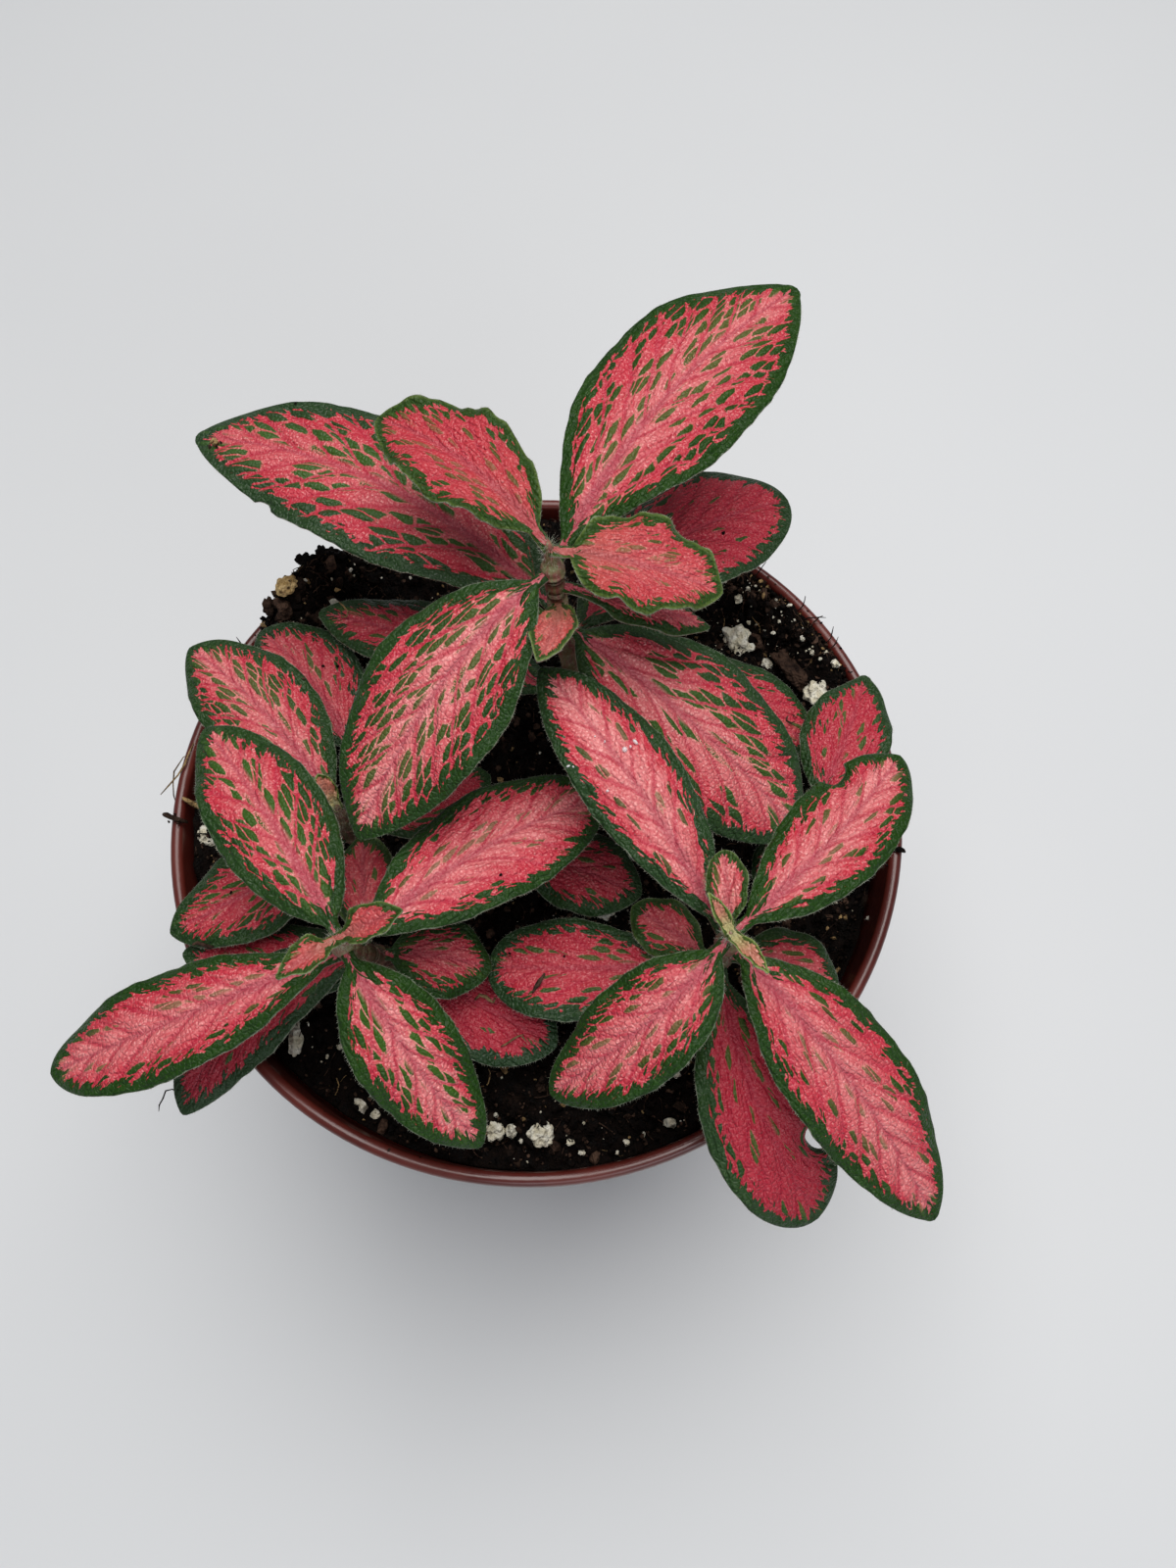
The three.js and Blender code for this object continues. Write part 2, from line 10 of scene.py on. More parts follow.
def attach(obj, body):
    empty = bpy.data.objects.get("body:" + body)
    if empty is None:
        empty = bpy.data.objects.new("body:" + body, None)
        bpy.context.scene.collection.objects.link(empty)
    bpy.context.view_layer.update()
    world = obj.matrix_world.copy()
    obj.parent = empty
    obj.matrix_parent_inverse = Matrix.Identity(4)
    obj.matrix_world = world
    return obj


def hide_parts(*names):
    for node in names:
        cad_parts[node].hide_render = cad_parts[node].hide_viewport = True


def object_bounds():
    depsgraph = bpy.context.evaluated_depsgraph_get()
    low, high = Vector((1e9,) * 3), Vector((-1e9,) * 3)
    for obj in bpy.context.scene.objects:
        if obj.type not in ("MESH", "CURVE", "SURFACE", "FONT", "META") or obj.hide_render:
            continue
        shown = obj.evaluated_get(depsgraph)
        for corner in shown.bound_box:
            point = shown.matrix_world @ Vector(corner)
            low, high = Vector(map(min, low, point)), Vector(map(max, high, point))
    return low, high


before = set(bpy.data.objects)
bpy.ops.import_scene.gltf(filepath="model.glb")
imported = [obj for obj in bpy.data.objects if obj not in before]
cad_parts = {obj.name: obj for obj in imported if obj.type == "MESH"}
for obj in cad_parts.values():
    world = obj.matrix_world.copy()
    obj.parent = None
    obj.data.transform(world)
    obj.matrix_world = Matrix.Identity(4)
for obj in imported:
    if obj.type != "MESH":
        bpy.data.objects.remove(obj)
cad_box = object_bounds()

MM = 0.001
BODY = "root"
TURN = 2 * math.pi
BOX_LOW, BOX_HIGH = np.array(cad_box[0]), np.array(cad_box[1])

# ------------------------------------------------------------------ sizes shared with the solids
POT_HEIGHT = 92
LIP_RADIUS = 52.5
LIP_HALF = 0.9
COLLAR_HEIGHT = 14
COLLAR_FOOT = 51.2
COLLAR_STEP = 1.5
BASE_RADIUS = 37
WALL = 1.1
FLOOR = 1.6
GAP = 0.3
DRAIN_HOLES, DRAIN_RING, DRAIN_RADIUS = 8, 27, 3.5
STEP_Z = POT_HEIGHT - COLLAR_HEIGHT
WALL_TOP = COLLAR_FOOT - COLLAR_STEP
SOIL_EDGE = COLLAR_FOOT - WALL - GAP

# the soil slopes up to the rear, with a heap at the left rear; a lump is height, pace in x, pace in y, start
SOIL_LEVEL, SOIL_SLOPE = 86, (-0.03, 0.09)
SOIL_LOWEST = 79.6
HEAP, HEAP_TURN, HEAP_SPREAD, HEAP_RISE = (-37, 35), math.radians(38), (11, 7.5), 10.5
SOIL_LUMPS = ((0.5, 0.42, 0.31, 1), (0.4, -0.36, 0.5, 0), (0.3, 0.9, -0.7, 2))

STEMS = {
    "leafy_stem_tall": [(7.5, 9, 76), (6.5, 11.5, 100), (4.5, 15, 120), (3.8, 16.4, 133)],
    "leafy_stem_left": [(-17.5, -21, 74), (-19, -23.5, 95), (-20.6, -26.5, 110), (-20.8, -27.2, 118.5)],
    "leafy_stem_right": [(22.5, -22, 74), (24, -25, 95), (24.6, -26.4, 110), (24.4, -26.8, 119.5)],
    "leafy_stem_left_rear": [(-23.5, -8, 76), (-24, -7, 92), (-24.8, -6.5, 100), (-25.2, -5.9, 106)],
    "leafy_stem_left_back": [(-24, 3, 76), (-25, 3.5, 90), (-25.5, 4, 98)],
    "leafy_stem_right_low": [(36.5, -6, 76), (38, -5, 90), (38.5, -4.5, 99)],
    "leafy_stem_centre_low": [(-5, -6, 76), (-5, -6.5, 90), (-5, -7, 98)],
}


def leaf(at, tip, width, look, arch=2, bow=0, fold=1, curl=1.5, wave=0.5, waves=3, phase=0,
         heel=0.95, point=0.8, cut=None, ruffle=0.0, size=0.5):
    """One leaf.

    at: its height on the stem. tip: the point where it ends. arch, bow: its rise and its bend to the left at
    mid length. fold, curl: how its halves rise, and how they bend down again at the edge. wave, waves, phase:
    the edge's slow waves. ruffle: its quick ones. heel, point: how slowly it widens at the stem and narrows at
    the tip. cut: a bite's place along the leaf, its width, depth and side. size: from small islands to large.
    """
    return dict(at=at, tip=tip, width=width, look=look, arch=arch, bow=bow, fold=fold, curl=curl,
                wave=wave, waves=waves, phase=phase, heel=heel, point=point, cut=cut,
                ruffle=ruffle, size=size)


# the fourth value is the look: share of green islands, greyness of the green (a painted sheen),
# depth of crimson (partly the leaf's own colour and partly painted shade on the low leaves), pale centre,
# and the lime tone of a young leaf
LEAVES = {
    "leafy_stem_tall": [
        leaf(122, (2.4, 3.4, 128), 5.6, (0.1, 0.2, 0.3, 0.35, 0.6), arch=0.9, bow=0.9, fold=1.2, curl=0.2,
             wave=0.3, waves=2, ruffle=0.3, heel=0.8, point=0.9),
        leaf(131.5, (-17.8, 35.4, 132), 13.4, (0.4, 0.1, 0.24, 0.1, 0.28), arch=1.5, bow=-1.8, fold=2,
             curl=1, wave=1, phase=0.2, heel=0.85, ruffle=0.2, size=0.25),
        leaf(131.5, (24.3, 12, 128.5), 12.8, (0.35, 0.05, 0.2, 0.24, 0.38), arch=1.2, bow=0.3, fold=2,
             curl=1, wave=1, phase=0.6, heel=0.62, ruffle=0.28, size=0.2),
        leaf(128, (35.5, 55.5, 132), 21.4, (0.66, 0.08, 0.1, 0.42, 0), bow=2.8, phase=0.1, heel=1.1,
             point=0.9),
        leaf(128, (-20.4, -12.8, 112.5), 19.3, (0.78, 0.25, 0.05, 0.6, 0), arch=4, bow=-1.4, phase=0.3,
             heel=0.9, point=0.85),
        leaf(125, (23.4, 12.2, 120), 5.5, (0.1, 0.2, 0.15, 0.35, 0.1), arch=1, size=0.1),
        leaf(119, (-46.1, 44.3, 118), 21.3, (0.75, 0.6, 0.2, 0.3, 0), arch=2.5, bow=-4.5, phase=0.5,
             heel=0.82, cut=(0.75, 0.017, 0.75, 1), size=0.8),
        leaf(117.5, (35.8, -8.6, 102), 20.5, (0.66, 0.45, 0.1, 0.5, 0), arch=4, phase=0.8, heel=0.8,
             point=0.7, size=0.85),
        leaf(113, (36.6, 39.8, 108), 18.4, (0.14, 0.5, 0.55, 0.1, 0), arch=1.5, bow=3.6, point=0.6),
        leaf(101, (-31.5, 26.5, 100.5), 12, (0.4, 0.5, 0.35, 0.2, 0), arch=1, bow=-1),
        leaf(101, (41.5, 7, 92.5), 15, (0.25, 0.4, 0.35, 0.2, 0), bow=4),
    ],
    "leafy_stem_left": [
        leaf(118, (-12.8, -24.5, 121), 4.4, (0, 0.1, 0.3, 0.2, 0.42), arch=0.5, curl=0, wave=0.3,
             ruffle=0.2, heel=0.7, point=0.95),
        leaf(118, (-26.7, -32.1, 120), 3.9, (0, 0.1, 0.25, 0.25, 0.5), arch=0.5, curl=0, wave=0.3,
             ruffle=0.2, heel=0.65, point=1.15),
        leaf(115, (-41.2, 2.1, 113), 14.2, (0.65, 0.3, 0.1, 0.4, 0), arch=2.5, bow=-0.8, phase=0.1,
             heel=0.75, size=0.65),
        leaf(115, (-5.2, -48.3, 100), 12.6, (0.60, 0.1, 0.06, 0.55, 0), arch=3.5, bow=-0.8, phase=0.4,
             heel=0.75, size=0.6),
        leaf(111, (9.5, -5, 106), 15.2, (0.16, 0.2, 0.08, 0.5, 0), bow=1.6, phase=0.4, heel=0.8, point=0.6,
             size=0.3),
        leaf(111, (-59.7, -39.4, 100), 13.2, (0.14, 0.12, 0.12, 0.5, 0), arch=2.7, bow=0.6, phase=0.7,
             heel=0.9, point=0.65, size=0.3),
        leaf(105, (-22.4, -8, 100.5), 9, (0.2, 0.3, 0.3, 0.3, 0.2), arch=1),
        leaf(101, (-5, -25.5, 96.5), 11, (0.45, 0.3, 0.3, 0.3, 0), arch=1.5, bow=0.5, heel=0.8),
        leaf(98.5, (-45.5, -43.4, 91), 12, (0.05, 0.6, 0.85, 0, 0), arch=3, bow=-4.5),
        leaf(94, (-47.2, -22.6, 94.2), 11, (0.3, 0.5, 0.6, 0.1, 0), arch=0.5, bow=1, heel=0.8),
        leaf(92, (3.3, -34.2, 88), 14, (0.1, 0.7, 0.7, 0.1, 0), arch=1),
    ],
    "leafy_stem_right": [
        leaf(118.7, (21.8, -22.8, 121.5), 1.9, (0, 0, 0, 0.4, 1), point=1.5, arch=0.2, fold=0.6, curl=0,
             wave=0.1),
        leaf(118.7, (28.2, -31.8, 120.5), 2.1, (0, 0, 0, 0.4, 1), point=1.5, arch=0.4, fold=0.6, curl=0,
             wave=0.1),
        leaf(116, (24.1, -16.5, 118), 5, (0.3, 0.2, 0.1, 0.5, 0.3), arch=0.5, fold=1.2, curl=0, ruffle=0.2),
        leaf(117, (47.4, -2.2, 112.5), 12.6, (0.36, 0.1, 0.08, 0.55, 0), arch=1.8, bow=-1.2, phase=0.6,
             heel=0.85, point=0.7, cut=(0.75, 0.04, 1.6, 1), size=0.4),
        leaf(117, (3.4, -42.7, 105), 12.6, (0.3, 0.15, 0.12, 0.5, 0), arch=3.5, bow=1.8, phase=0.9,
             heel=0.7, point=0.7, size=0.35),
        leaf(113.5, (2.2, 7, 119.5), 12.6, (0.12, 0.45, 0.08, 0.65, 0), arch=2, bow=-1.2, phase=0.2,
             heel=0.9, size=0.3),
        leaf(113.5, (50, -56.5, 95.5), 15, (0.25, 0.15, 0.15, 0.5, 0), arch=3.8, bow=1, phase=0.3, heel=0.8,
             size=0.35),
        leaf(104, (36.4, -56.2, 92), 15, (0.3, 0.4, 0.85, 0.05, 0), arch=4, bow=-2.8, phase=0.5, heel=0.9,
             point=0.52, cut=(0.755, 0.045, 3.3, 1)),
        leaf(104, (39.5, -29, 101), 9.5, (0.4, 0.3, 0.2, 0.3, 0), arch=1, bow=1, heel=0.9),
        leaf(99, (13.6, -17.9, 99.5), 8, (0.3, 0.3, 0.3, 0.3, 0.2), arch=1),
        leaf(95.5, (-5.7, -24.8, 95), 13.8, (0.35, 0.6, 0.45, 0.2, 0), arch=1.5, bow=0.6, heel=1,
             point=0.6),
    ],
    "leafy_stem_left_rear": [
        leaf(105, (-27.2, -2.6, 109), 2.8, (0, 0, 0.1, 0.3, 1), arch=0.2, fold=0.6, curl=0),
        leaf(103, (-49.2, 20, 102), 15, (0.55, 0.4, 0.1, 0.5, 0), bow=-1.5, heel=0.9),
        leaf(98, (-48.4, -20.4, 96.5), 13, (0.68, 0.4, 0.2, 0.2, 0), arch=1.5, bow=1, heel=0.8, size=0.6),
        leaf(98, (-6, 2, 97), 12, (0.2, 0.4, 0.6, 0.1, 0), arch=1.5, heel=0.8),
    ],
    "leafy_stem_left_back": [
        leaf(96, (-41, 25, 97.5), 15, (0.35, 0.65, 0.35, 0.35, 0), arch=1.5, bow=-2),
        leaf(96, (-17, 17, 95.5), 8, (0.3, 0.4, 0.4, 0.2, 0), arch=1),
    ],
    "leafy_stem_right_low": [
        leaf(97, (48, 17.5, 96.5), 12.6, (0.3, 0.45, 0.6, 0.15, 0), arch=1.5, bow=-0.5, point=1),
        leaf(96, (31, -14, 94), 7, (0.3, 0.4, 0.4, 0.2, 0), arch=1),
    ],
    "leafy_stem_centre_low": [
        leaf(95, (15, -15, 95), 12, (0.25, 0.5, 0.5, 0.2, 0), arch=1),
        leaf(94, (-14.5, 4, 93), 7, (0.2, 0.4, 0.5, 0.2, 0), arch=1),
    ],
}


# ------------------------------------------------------------------ pieces and meshes
def smoothstep(x, low, high):
    s = np.clip((x - low) / (high - low), 0, 1)
    return s * s * (3 - 2 * s)


def unit_rows(rows):
    return rows / np.linalg.norm(rows, axis=-1, keepdims=True)


def round_at(radius, angle):
    return radius * np.cos(angle), radius * np.sin(angle)


def frames_along(directions):
    """Two unit vectors square to each of the given unit directions."""
    helper = np.where(np.abs(directions[:, 2:3]) < 0.9, [[0.0, 0.0, 1.0]], [[1.0, 0.0, 0.0]])
    side = unit_rows(np.cross(helper, directions))
    return side, np.cross(directions, side)


def points_of(mesh):
    co = np.empty(len(mesh.vertices) * 3)
    mesh.vertices.foreach_get("co", co)
    return co.reshape(-1, 3)


def set_points(mesh, points):
    """Places a mesh's corners, given in metres, and keeps them within the box of the solids."""
    mesh.vertices.foreach_set("co", np.clip(points, BOX_LOW, BOX_HIGH).ravel())
    mesh.update()


def write_mesh(mesh, bm, outward):
    """Puts a bmesh into a mesh, with its faces turned outwards where asked, and clears it away."""
    if outward:
        bmesh.ops.recalc_face_normals(bm, faces=bm.faces[:])
    bm.to_mesh(mesh)
    bm.free()
    return mesh


def mesh_of(name, bm, outward=False):
    return write_mesh(bpy.data.meshes.new(name), bm, outward)


def extruded(bm, faces, keep=True):
    """Draws a copy out of some faces, and gives the copy's corners and its faces."""
    grown = bmesh.ops.extrude_face_region(bm, geom=faces, use_keep_orig=keep)["geom"]
    return [[g for g in grown if isinstance(g, kind)] for kind in (bmesh.types.BMVert, bmesh.types.BMFace)]


def link(name, data):
    made = bpy.data.objects.new(name, data)
    bpy.context.scene.collection.objects.link(made)
    return made


def piece(name, mesh, material, nodes=(), smooth=True):
    """A finished piece of the plant or pot, which rides on the one body."""
    mesh.name = name
    mesh.materials.clear()
    mesh.materials.append(material)
    if smooth:
        mesh.shade_smooth()
    else:
        mesh.shade_flat()
    made = link(name, mesh)
    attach(made, BODY)
    if nodes:
        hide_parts(*nodes)
    return made


def copies(unit, count):
    """A mesh of count copies of a small shape, one after the other, all in the same place."""
    holder = link("unit", unit)
    array = holder.modifiers.new("count", "ARRAY")
    array.count = count
    array.use_relative_offset = False
    array.use_constant_offset = True
    array.constant_offset_displace = (0, 0, 0)
    graph = bpy.context.evaluated_depsgraph_get()
    mesh = bpy.data.meshes.new_from_object(holder.evaluated_get(graph))
    bpy.data.objects.remove(holder)
    return mesh


def point_attribute(mesh, name, values):
    attribute = mesh.attributes.new(name, "FLOAT", "POINT")
    attribute.data.foreach_set("value", np.asarray(values, np.float32).ravel())


def corner_map(mesh, name, x, y):
    """A UV map from an x and a y for each face corner."""
    uv = mesh.uv_layers.new(name=name)
    uv.data.foreach_set("uv", np.stack([x, y], 1).astype(np.float32).ravel())


def whole_numbers(items, name, count):
    values = np.empty(count, np.int32)
    items.foreach_get(name, values)
    return values


# ------------------------------------------------------------------ soil surface
def soil_height(x, y):
    u = (x - HEAP[0]) * math.cos(HEAP_TURN) + (y - HEAP[1]) * math.sin(HEAP_TURN)
    v = (y - HEAP[1]) * math.cos(HEAP_TURN) - (x - HEAP[0]) * math.sin(HEAP_TURN)
    heap = HEAP_RISE * np.exp(-((u / HEAP_SPREAD[0]) ** 2) - (v / HEAP_SPREAD[1]) ** 2)
    height = SOIL_LEVEL + SOIL_SLOPE[0] * x + SOIL_SLOPE[1] * y + heap
    for rise, along_x, along_y, start in SOIL_LUMPS:
        height = height + rise * np.sin(along_x * x + along_y * y + start)
    return np.maximum(SOIL_LOWEST, height)


def outer_wall(z):
    return BASE_RADIUS + (WALL_TOP - BASE_RADIUS) * z / STEP_Z


def inner_wall(z):
    return outer_wall(z) - WALL


# ------------------------------------------------------------------ leaf form
Section = namedtuple("Section", "middle along across up share half")

PETIOLE, PETIOLE_SHARE = 2.5, 0.12      # the bare stalk, and the most of a leaf it may take
STALK_HALF, NARROWEST = 0.8, 0.1        # half widths
TIP_ROUND, TIP_SHARE = 0.1, 0.075       # a tip's radius, and its gain with the blade's width
BLADE_THICK, NECK_THICK = 0.17, 0.68    # each half of a blade, and of its stalk
NECK_SHARE = 0.14                       # how far the stalk's thickness runs into the blade
GROOVE, GROOVE_HALF = 0.16, 0.35        # depth and half width, over the midrib
RIB, RIB_HALF = 0.55, 0.5               # height and half width, under it
VEIN_GAP, VEIN_GAP_GAIN = 3.1, 0.045    # between secondary veins, and its gain with the blade's length
VEIN_LEAN, VEIN_BEND = 2.1, 0.52        # how far a vein runs to the tip for each step out, and how it bends
VEIN_WANDER = 0.3
MAP_STEP, MAP_STEP_GAIN = 0.65, 0.004   # out along a vein in its map, and its gain with the blade's length
PILLOW, PILLOW_GAIN = 0.10, 0.009       # rise between the veins, and its gain with the blade's length
FACET = 0.42                            # the size of a blade's facets
LEAF_APART, SIDES_APART = 20, 40.0      # in the vein map: leaf from leaf, and a leaf's two sides


def stem_point(path, height):
    upper = next((i for i, p in enumerate(path) if p[2] >= height), len(path) - 1)
    a, b = np.array(path[max(upper - 1, 0)], float), np.array(path[max(upper, 1)], float)
    return a + (b - a) * (height - a[2]) / (b[2] - a[2])


def outline(share, heel, point):
    s = np.clip(share, 0, 1)
    peak = heel / (heel + point)
    return (s / peak) ** heel * ((1 - s) / (1 - peak)) ** point


class Blade:
    """The surface of one leaf: t runs from the stem to the tip, v from -1 to 1 across."""

    def __init__(self, entry, path, seed):
        self.e = entry
        self.seed = seed
        self.base = stem_point(path, entry["at"])
        self.chord = np.array(entry["tip"], float) - self.base
        self.length = float(np.linalg.norm(self.chord))
        self.starts = np.random.default_rng(seed).uniform(0, TURN, 6)
        self.spacing = VEIN_GAP + self.length * VEIN_GAP_GAIN
        self.t_table = np.linspace(0, 1, 241)
        steps = np.linalg.norm(np.diff(self.section(self.t_table).middle, axis=0), axis=1)
        self.s_table = np.concatenate([[0], np.cumsum(steps)])

    def section(self, t):
        """The midrib's point and directions at t, the blade's share of its full width, and its half width."""
        e = self.e
        t = np.atleast_1d(t)
        aside = unit_rows(np.array([-self.chord[1], self.chord[0], 0]))
        hump, lean = (4 * t * (1 - t))[:, None], (4 * (1 - 2 * t))[:, None]
        bend = aside * e["bow"] + np.array([0, 0, e["arch"]])
        middle = self.base + self.chord * t[:, None] + bend * hump
        along = unit_rows(self.chord + bend * lean)
        across = unit_rows(np.cross([0, 0, 1], along))
        petiole = min(PETIOLE / self.length, PETIOLE_SHARE)
        share = outline((t - petiole) / (1 - petiole), e["heel"], e["point"])
        share = share ** (1 - 0.14 * smoothstep(t, 0.2, 0.6))  # a little fuller toward the tip
        left = (1 - t) * self.length
        half = np.maximum(share * e["width"] / 2, np.minimum(STALK_HALF, left / 2))
        tip = TIP_ROUND + TIP_SHARE * e["width"]
        cap = np.sqrt(np.clip(left * (2 * tip - left), 0, None))
        half = np.maximum(np.where(left < tip, np.maximum(half, cap), half), NARROWEST)
        return Section(middle, along, across, np.cross(along, across), share, half)

    def along_midrib(self, t):
        return np.interp(t, self.t_table, self.s_table)

    def veins(self, t, v):
        """Vein coordinates: secondaries lie at even x, and y runs out along them."""
        half = self.section(t).half
        s, w = self.along_midrib(t), np.abs(v) * half
        x = s - VEIN_LEAN * w + VEIN_BEND * w * w / np.maximum(half, 2.5)
        x = x + VEIN_WANDER * (np.sin(0.9 * w + self.starts[0]) + np.sin(0.35 * s + self.starts[1]))
        return 2 * x / self.spacing, w / (MAP_STEP + MAP_STEP_GAIN * self.length)

    def surface(self, t, v, side):
        """Points on the upper (side 1) or lower (side 0) face."""
        e, starts = self.e, self.starts
        middle, _, across, up, share, half = self.section(t)
        s, av = self.along_midrib(t), np.abs(v)
        w = av * half
        envelope = np.minimum(1.5 * share, 1)
        # fold, curl and slow waves
        wave = np.sin(TURN * (e["waves"] * t + e["phase"] + np.where(v > 0, 0, 0.37)))
        lift = share * (e["fold"] * av - e["curl"] * v * v) + e["wave"] * av ** 2.5 * envelope * wave
        # the ruffled edge, up and down and in and out
        other = np.where(v > 0, 0.0, 2.1)
        ruffle = np.sin(2.2 * s + starts[2] + other) + 0.4 * np.sin(3.7 * s + starts[3] + other)
        lift += 0.9 * e["ruffle"] * av ** 4 * envelope * ruffle
        notch = np.sin(1.5 * s + starts[4] + other) + 0.5 * np.sin(2.6 * s + starts[5] + other)
        notch_depth = 0.06 + 0.3 * e["ruffle"]
        reach = w + notch_depth * notch * av ** 4 * envelope * smoothstep(1 - t, 0.02, 0.3)
        if e["cut"]:
            at, width, depth, cut_side = e["cut"]
            off = np.clip((t - at) / np.where(t > at, 1.7 * width, width), -1, 1)
            reach -= np.where(np.sign(v) == cut_side, depth * np.sqrt(1 - off * off), 0) * v * v
        # pillows between the veins
        x, _ = self.veins(t, v)
        body = smoothstep(half - w, 0.2, 2.0) * smoothstep(w, 0.1, 1.2) * envelope
        pillow = np.abs(np.sin(math.pi * (x + np.where(v > 0, 0, 1.0)) / 2)) ** 0.7 - 0.6
        young = e["look"][4]
        lift = lift + (PILLOW + PILLOW_GAIN * self.length * (1 - 0.5 * young)) * pillow * body
        # thickness, with a groove over the midrib and a rib under it
        taper = np.clip(1 - t, 0.15, 1)
        neck = np.clip(1 - t / NECK_SHARE, 0, 1) ** 0.7
        thick = BLADE_THICK * (1 - 0.35 * v * v) * (1 - neck) + neck * NECK_THICK * np.sqrt(1.02 - v * v)
        groove = GROOVE * np.exp(-((w / GROOVE_HALF) ** 2)) * smoothstep(t, 0.05, 0.2) * taper
        rib = RIB * np.exp(-((w / RIB_HALF) ** 2)) * taper * (1 - neck)
        raise_by = lift + np.where(side > 0.5, thick - groove, -(thick + rib))
        return middle + across * (np.sign(v) * reach)[:, None] + up * raise_by[:, None]

    def edge_distance(self, t, v):
        """Distance in the flat blade from a point to the margin, in millimetres."""
        ring_t = np.linspace(0.0, 1, 160)
        ring_half = self.section(ring_t).half
        ring_s = np.tile(self.along_midrib(ring_t), 2)
        ring_w = np.concatenate([ring_half, -ring_half])
        half = self.section(t).half
        s, w = self.along_midrib(t), v * half
        nearest = np.empty(len(t))
        batch = 4000
        for start in range(0, len(t), batch):
            part = slice(start, start + batch)
            d = (s[part, None] - ring_s) ** 2 + (w[part, None] - ring_w) ** 2
            nearest[part] = np.sqrt(d.min(axis=1))
        # the distance counts for more on narrow leaves and near the stalk, so their dark edge is thinner
        widen = np.where(t < 0.35, np.maximum(1, 2.4 / half), 1)
        return nearest * np.maximum(widen, min(9 / self.e["width"], 2.2))


def make_leaf(name, blade, node):
    """A closed blade with its veins pressed in, and its own maps and marks."""
    e = blade.e
    rows = int(np.clip(blade.length / FACET, 14, 140))
    columns = 2 * int(np.clip(e["width"] / FACET / 2, 4, 28))
    bm = bmesh.new()
    bmesh.ops.create_grid(bm, x_segments=rows, y_segments=columns, size=0.5)
    for vert in extruded(bm, bm.faces[:])[0]:
        vert.co.z = 1
    mesh = mesh_of(name, bm, outward=True)
    flat = points_of(mesh)
    t, v, side = np.clip(flat[:, 0] + 0.5, 0, 1), np.clip(2 * flat[:, 1], -1, 1), flat[:, 2]
    v[np.abs(v) < 1e-6] = 0
    t = 1 - (1 - t) ** 1.25     # finer rows toward the tip
    set_points(mesh, blade.surface(t, v, side) * MM)

    corner = whole_numbers(mesh.loops, "vertex_index", len(mesh.loops))
    totals = whole_numbers(mesh.polygons, "loop_total", len(mesh.polygons))
    face = np.repeat(np.arange(len(totals)), totals)
    face_v, face_side = ((np.bincount(face, values[corner]) / totals)[face] for values in (v, side))
    ct, cv = t[corner], v[corner]
    x, y = blade.veins(ct, cv)
    left, offset = face_v < 0, LEAF_APART * blade.seed
    corner_map(mesh, "veins", x + np.where(left, 1.0, 0.0) + offset, y + np.where(left, SIDES_APART, 0))
    corner_map(mesh, "leaf", blade.along_midrib(ct) + offset, cv * blade.section(ct).half)
    # for baking: the lower face below, the upper face above, and the rim's two walls in a band between them
    across = (cv + 1) / 2
    wall = (face_side > 0.1) & (face_side < 0.9)
    faces_v = np.where(face_side > 0.9, 0.53 + 0.46 * across, 0.01 + 0.44 * across)
    wall_u = 0.01 + 0.47 * ct + np.where(left, 0, 0.5)
    corner_map(mesh, "OFBake", np.where(wall, wall_u, 0.01 + 0.98 * ct),
               np.where(wall, 0.47 + 0.03 * side[corner], faces_v))
    point_attribute(mesh, "edge", blade.edge_distance(t, v))
    point_attribute(mesh, "span", t)
    point_attribute(mesh, "under", 1 - side)
    for mark, value in zip(("islands", "grey_sheen", "crimson_and_shade", "pale", "lime", "size"), (*e["look"], e["size"])):
        point_attribute(mesh, mark, np.full(len(t), value))
    return piece(name, mesh, LEAF, [node])


# ------------------------------------------------------------------ materials
def joined(operation):
    """Two operators that make one Math node: value with other, and other with value."""
    def first(value, other):
        return value.surface.math(operation, value, other)

    def last(value, other):
        return value.surface.math(operation, other, value)

    return first, last


class Value:
    """What a node puts out. Each sum, difference, product or quotient of these is a Math node."""

    def __init__(self, surface, socket):
        self.surface, self.socket = surface, socket

    __add__, __radd__ = joined("ADD")
    __sub__, __rsub__ = joined("SUBTRACT")
    __mul__, __rmul__ = joined("MULTIPLY")
    __truediv__, __rtruediv__ = joined("DIVIDE")


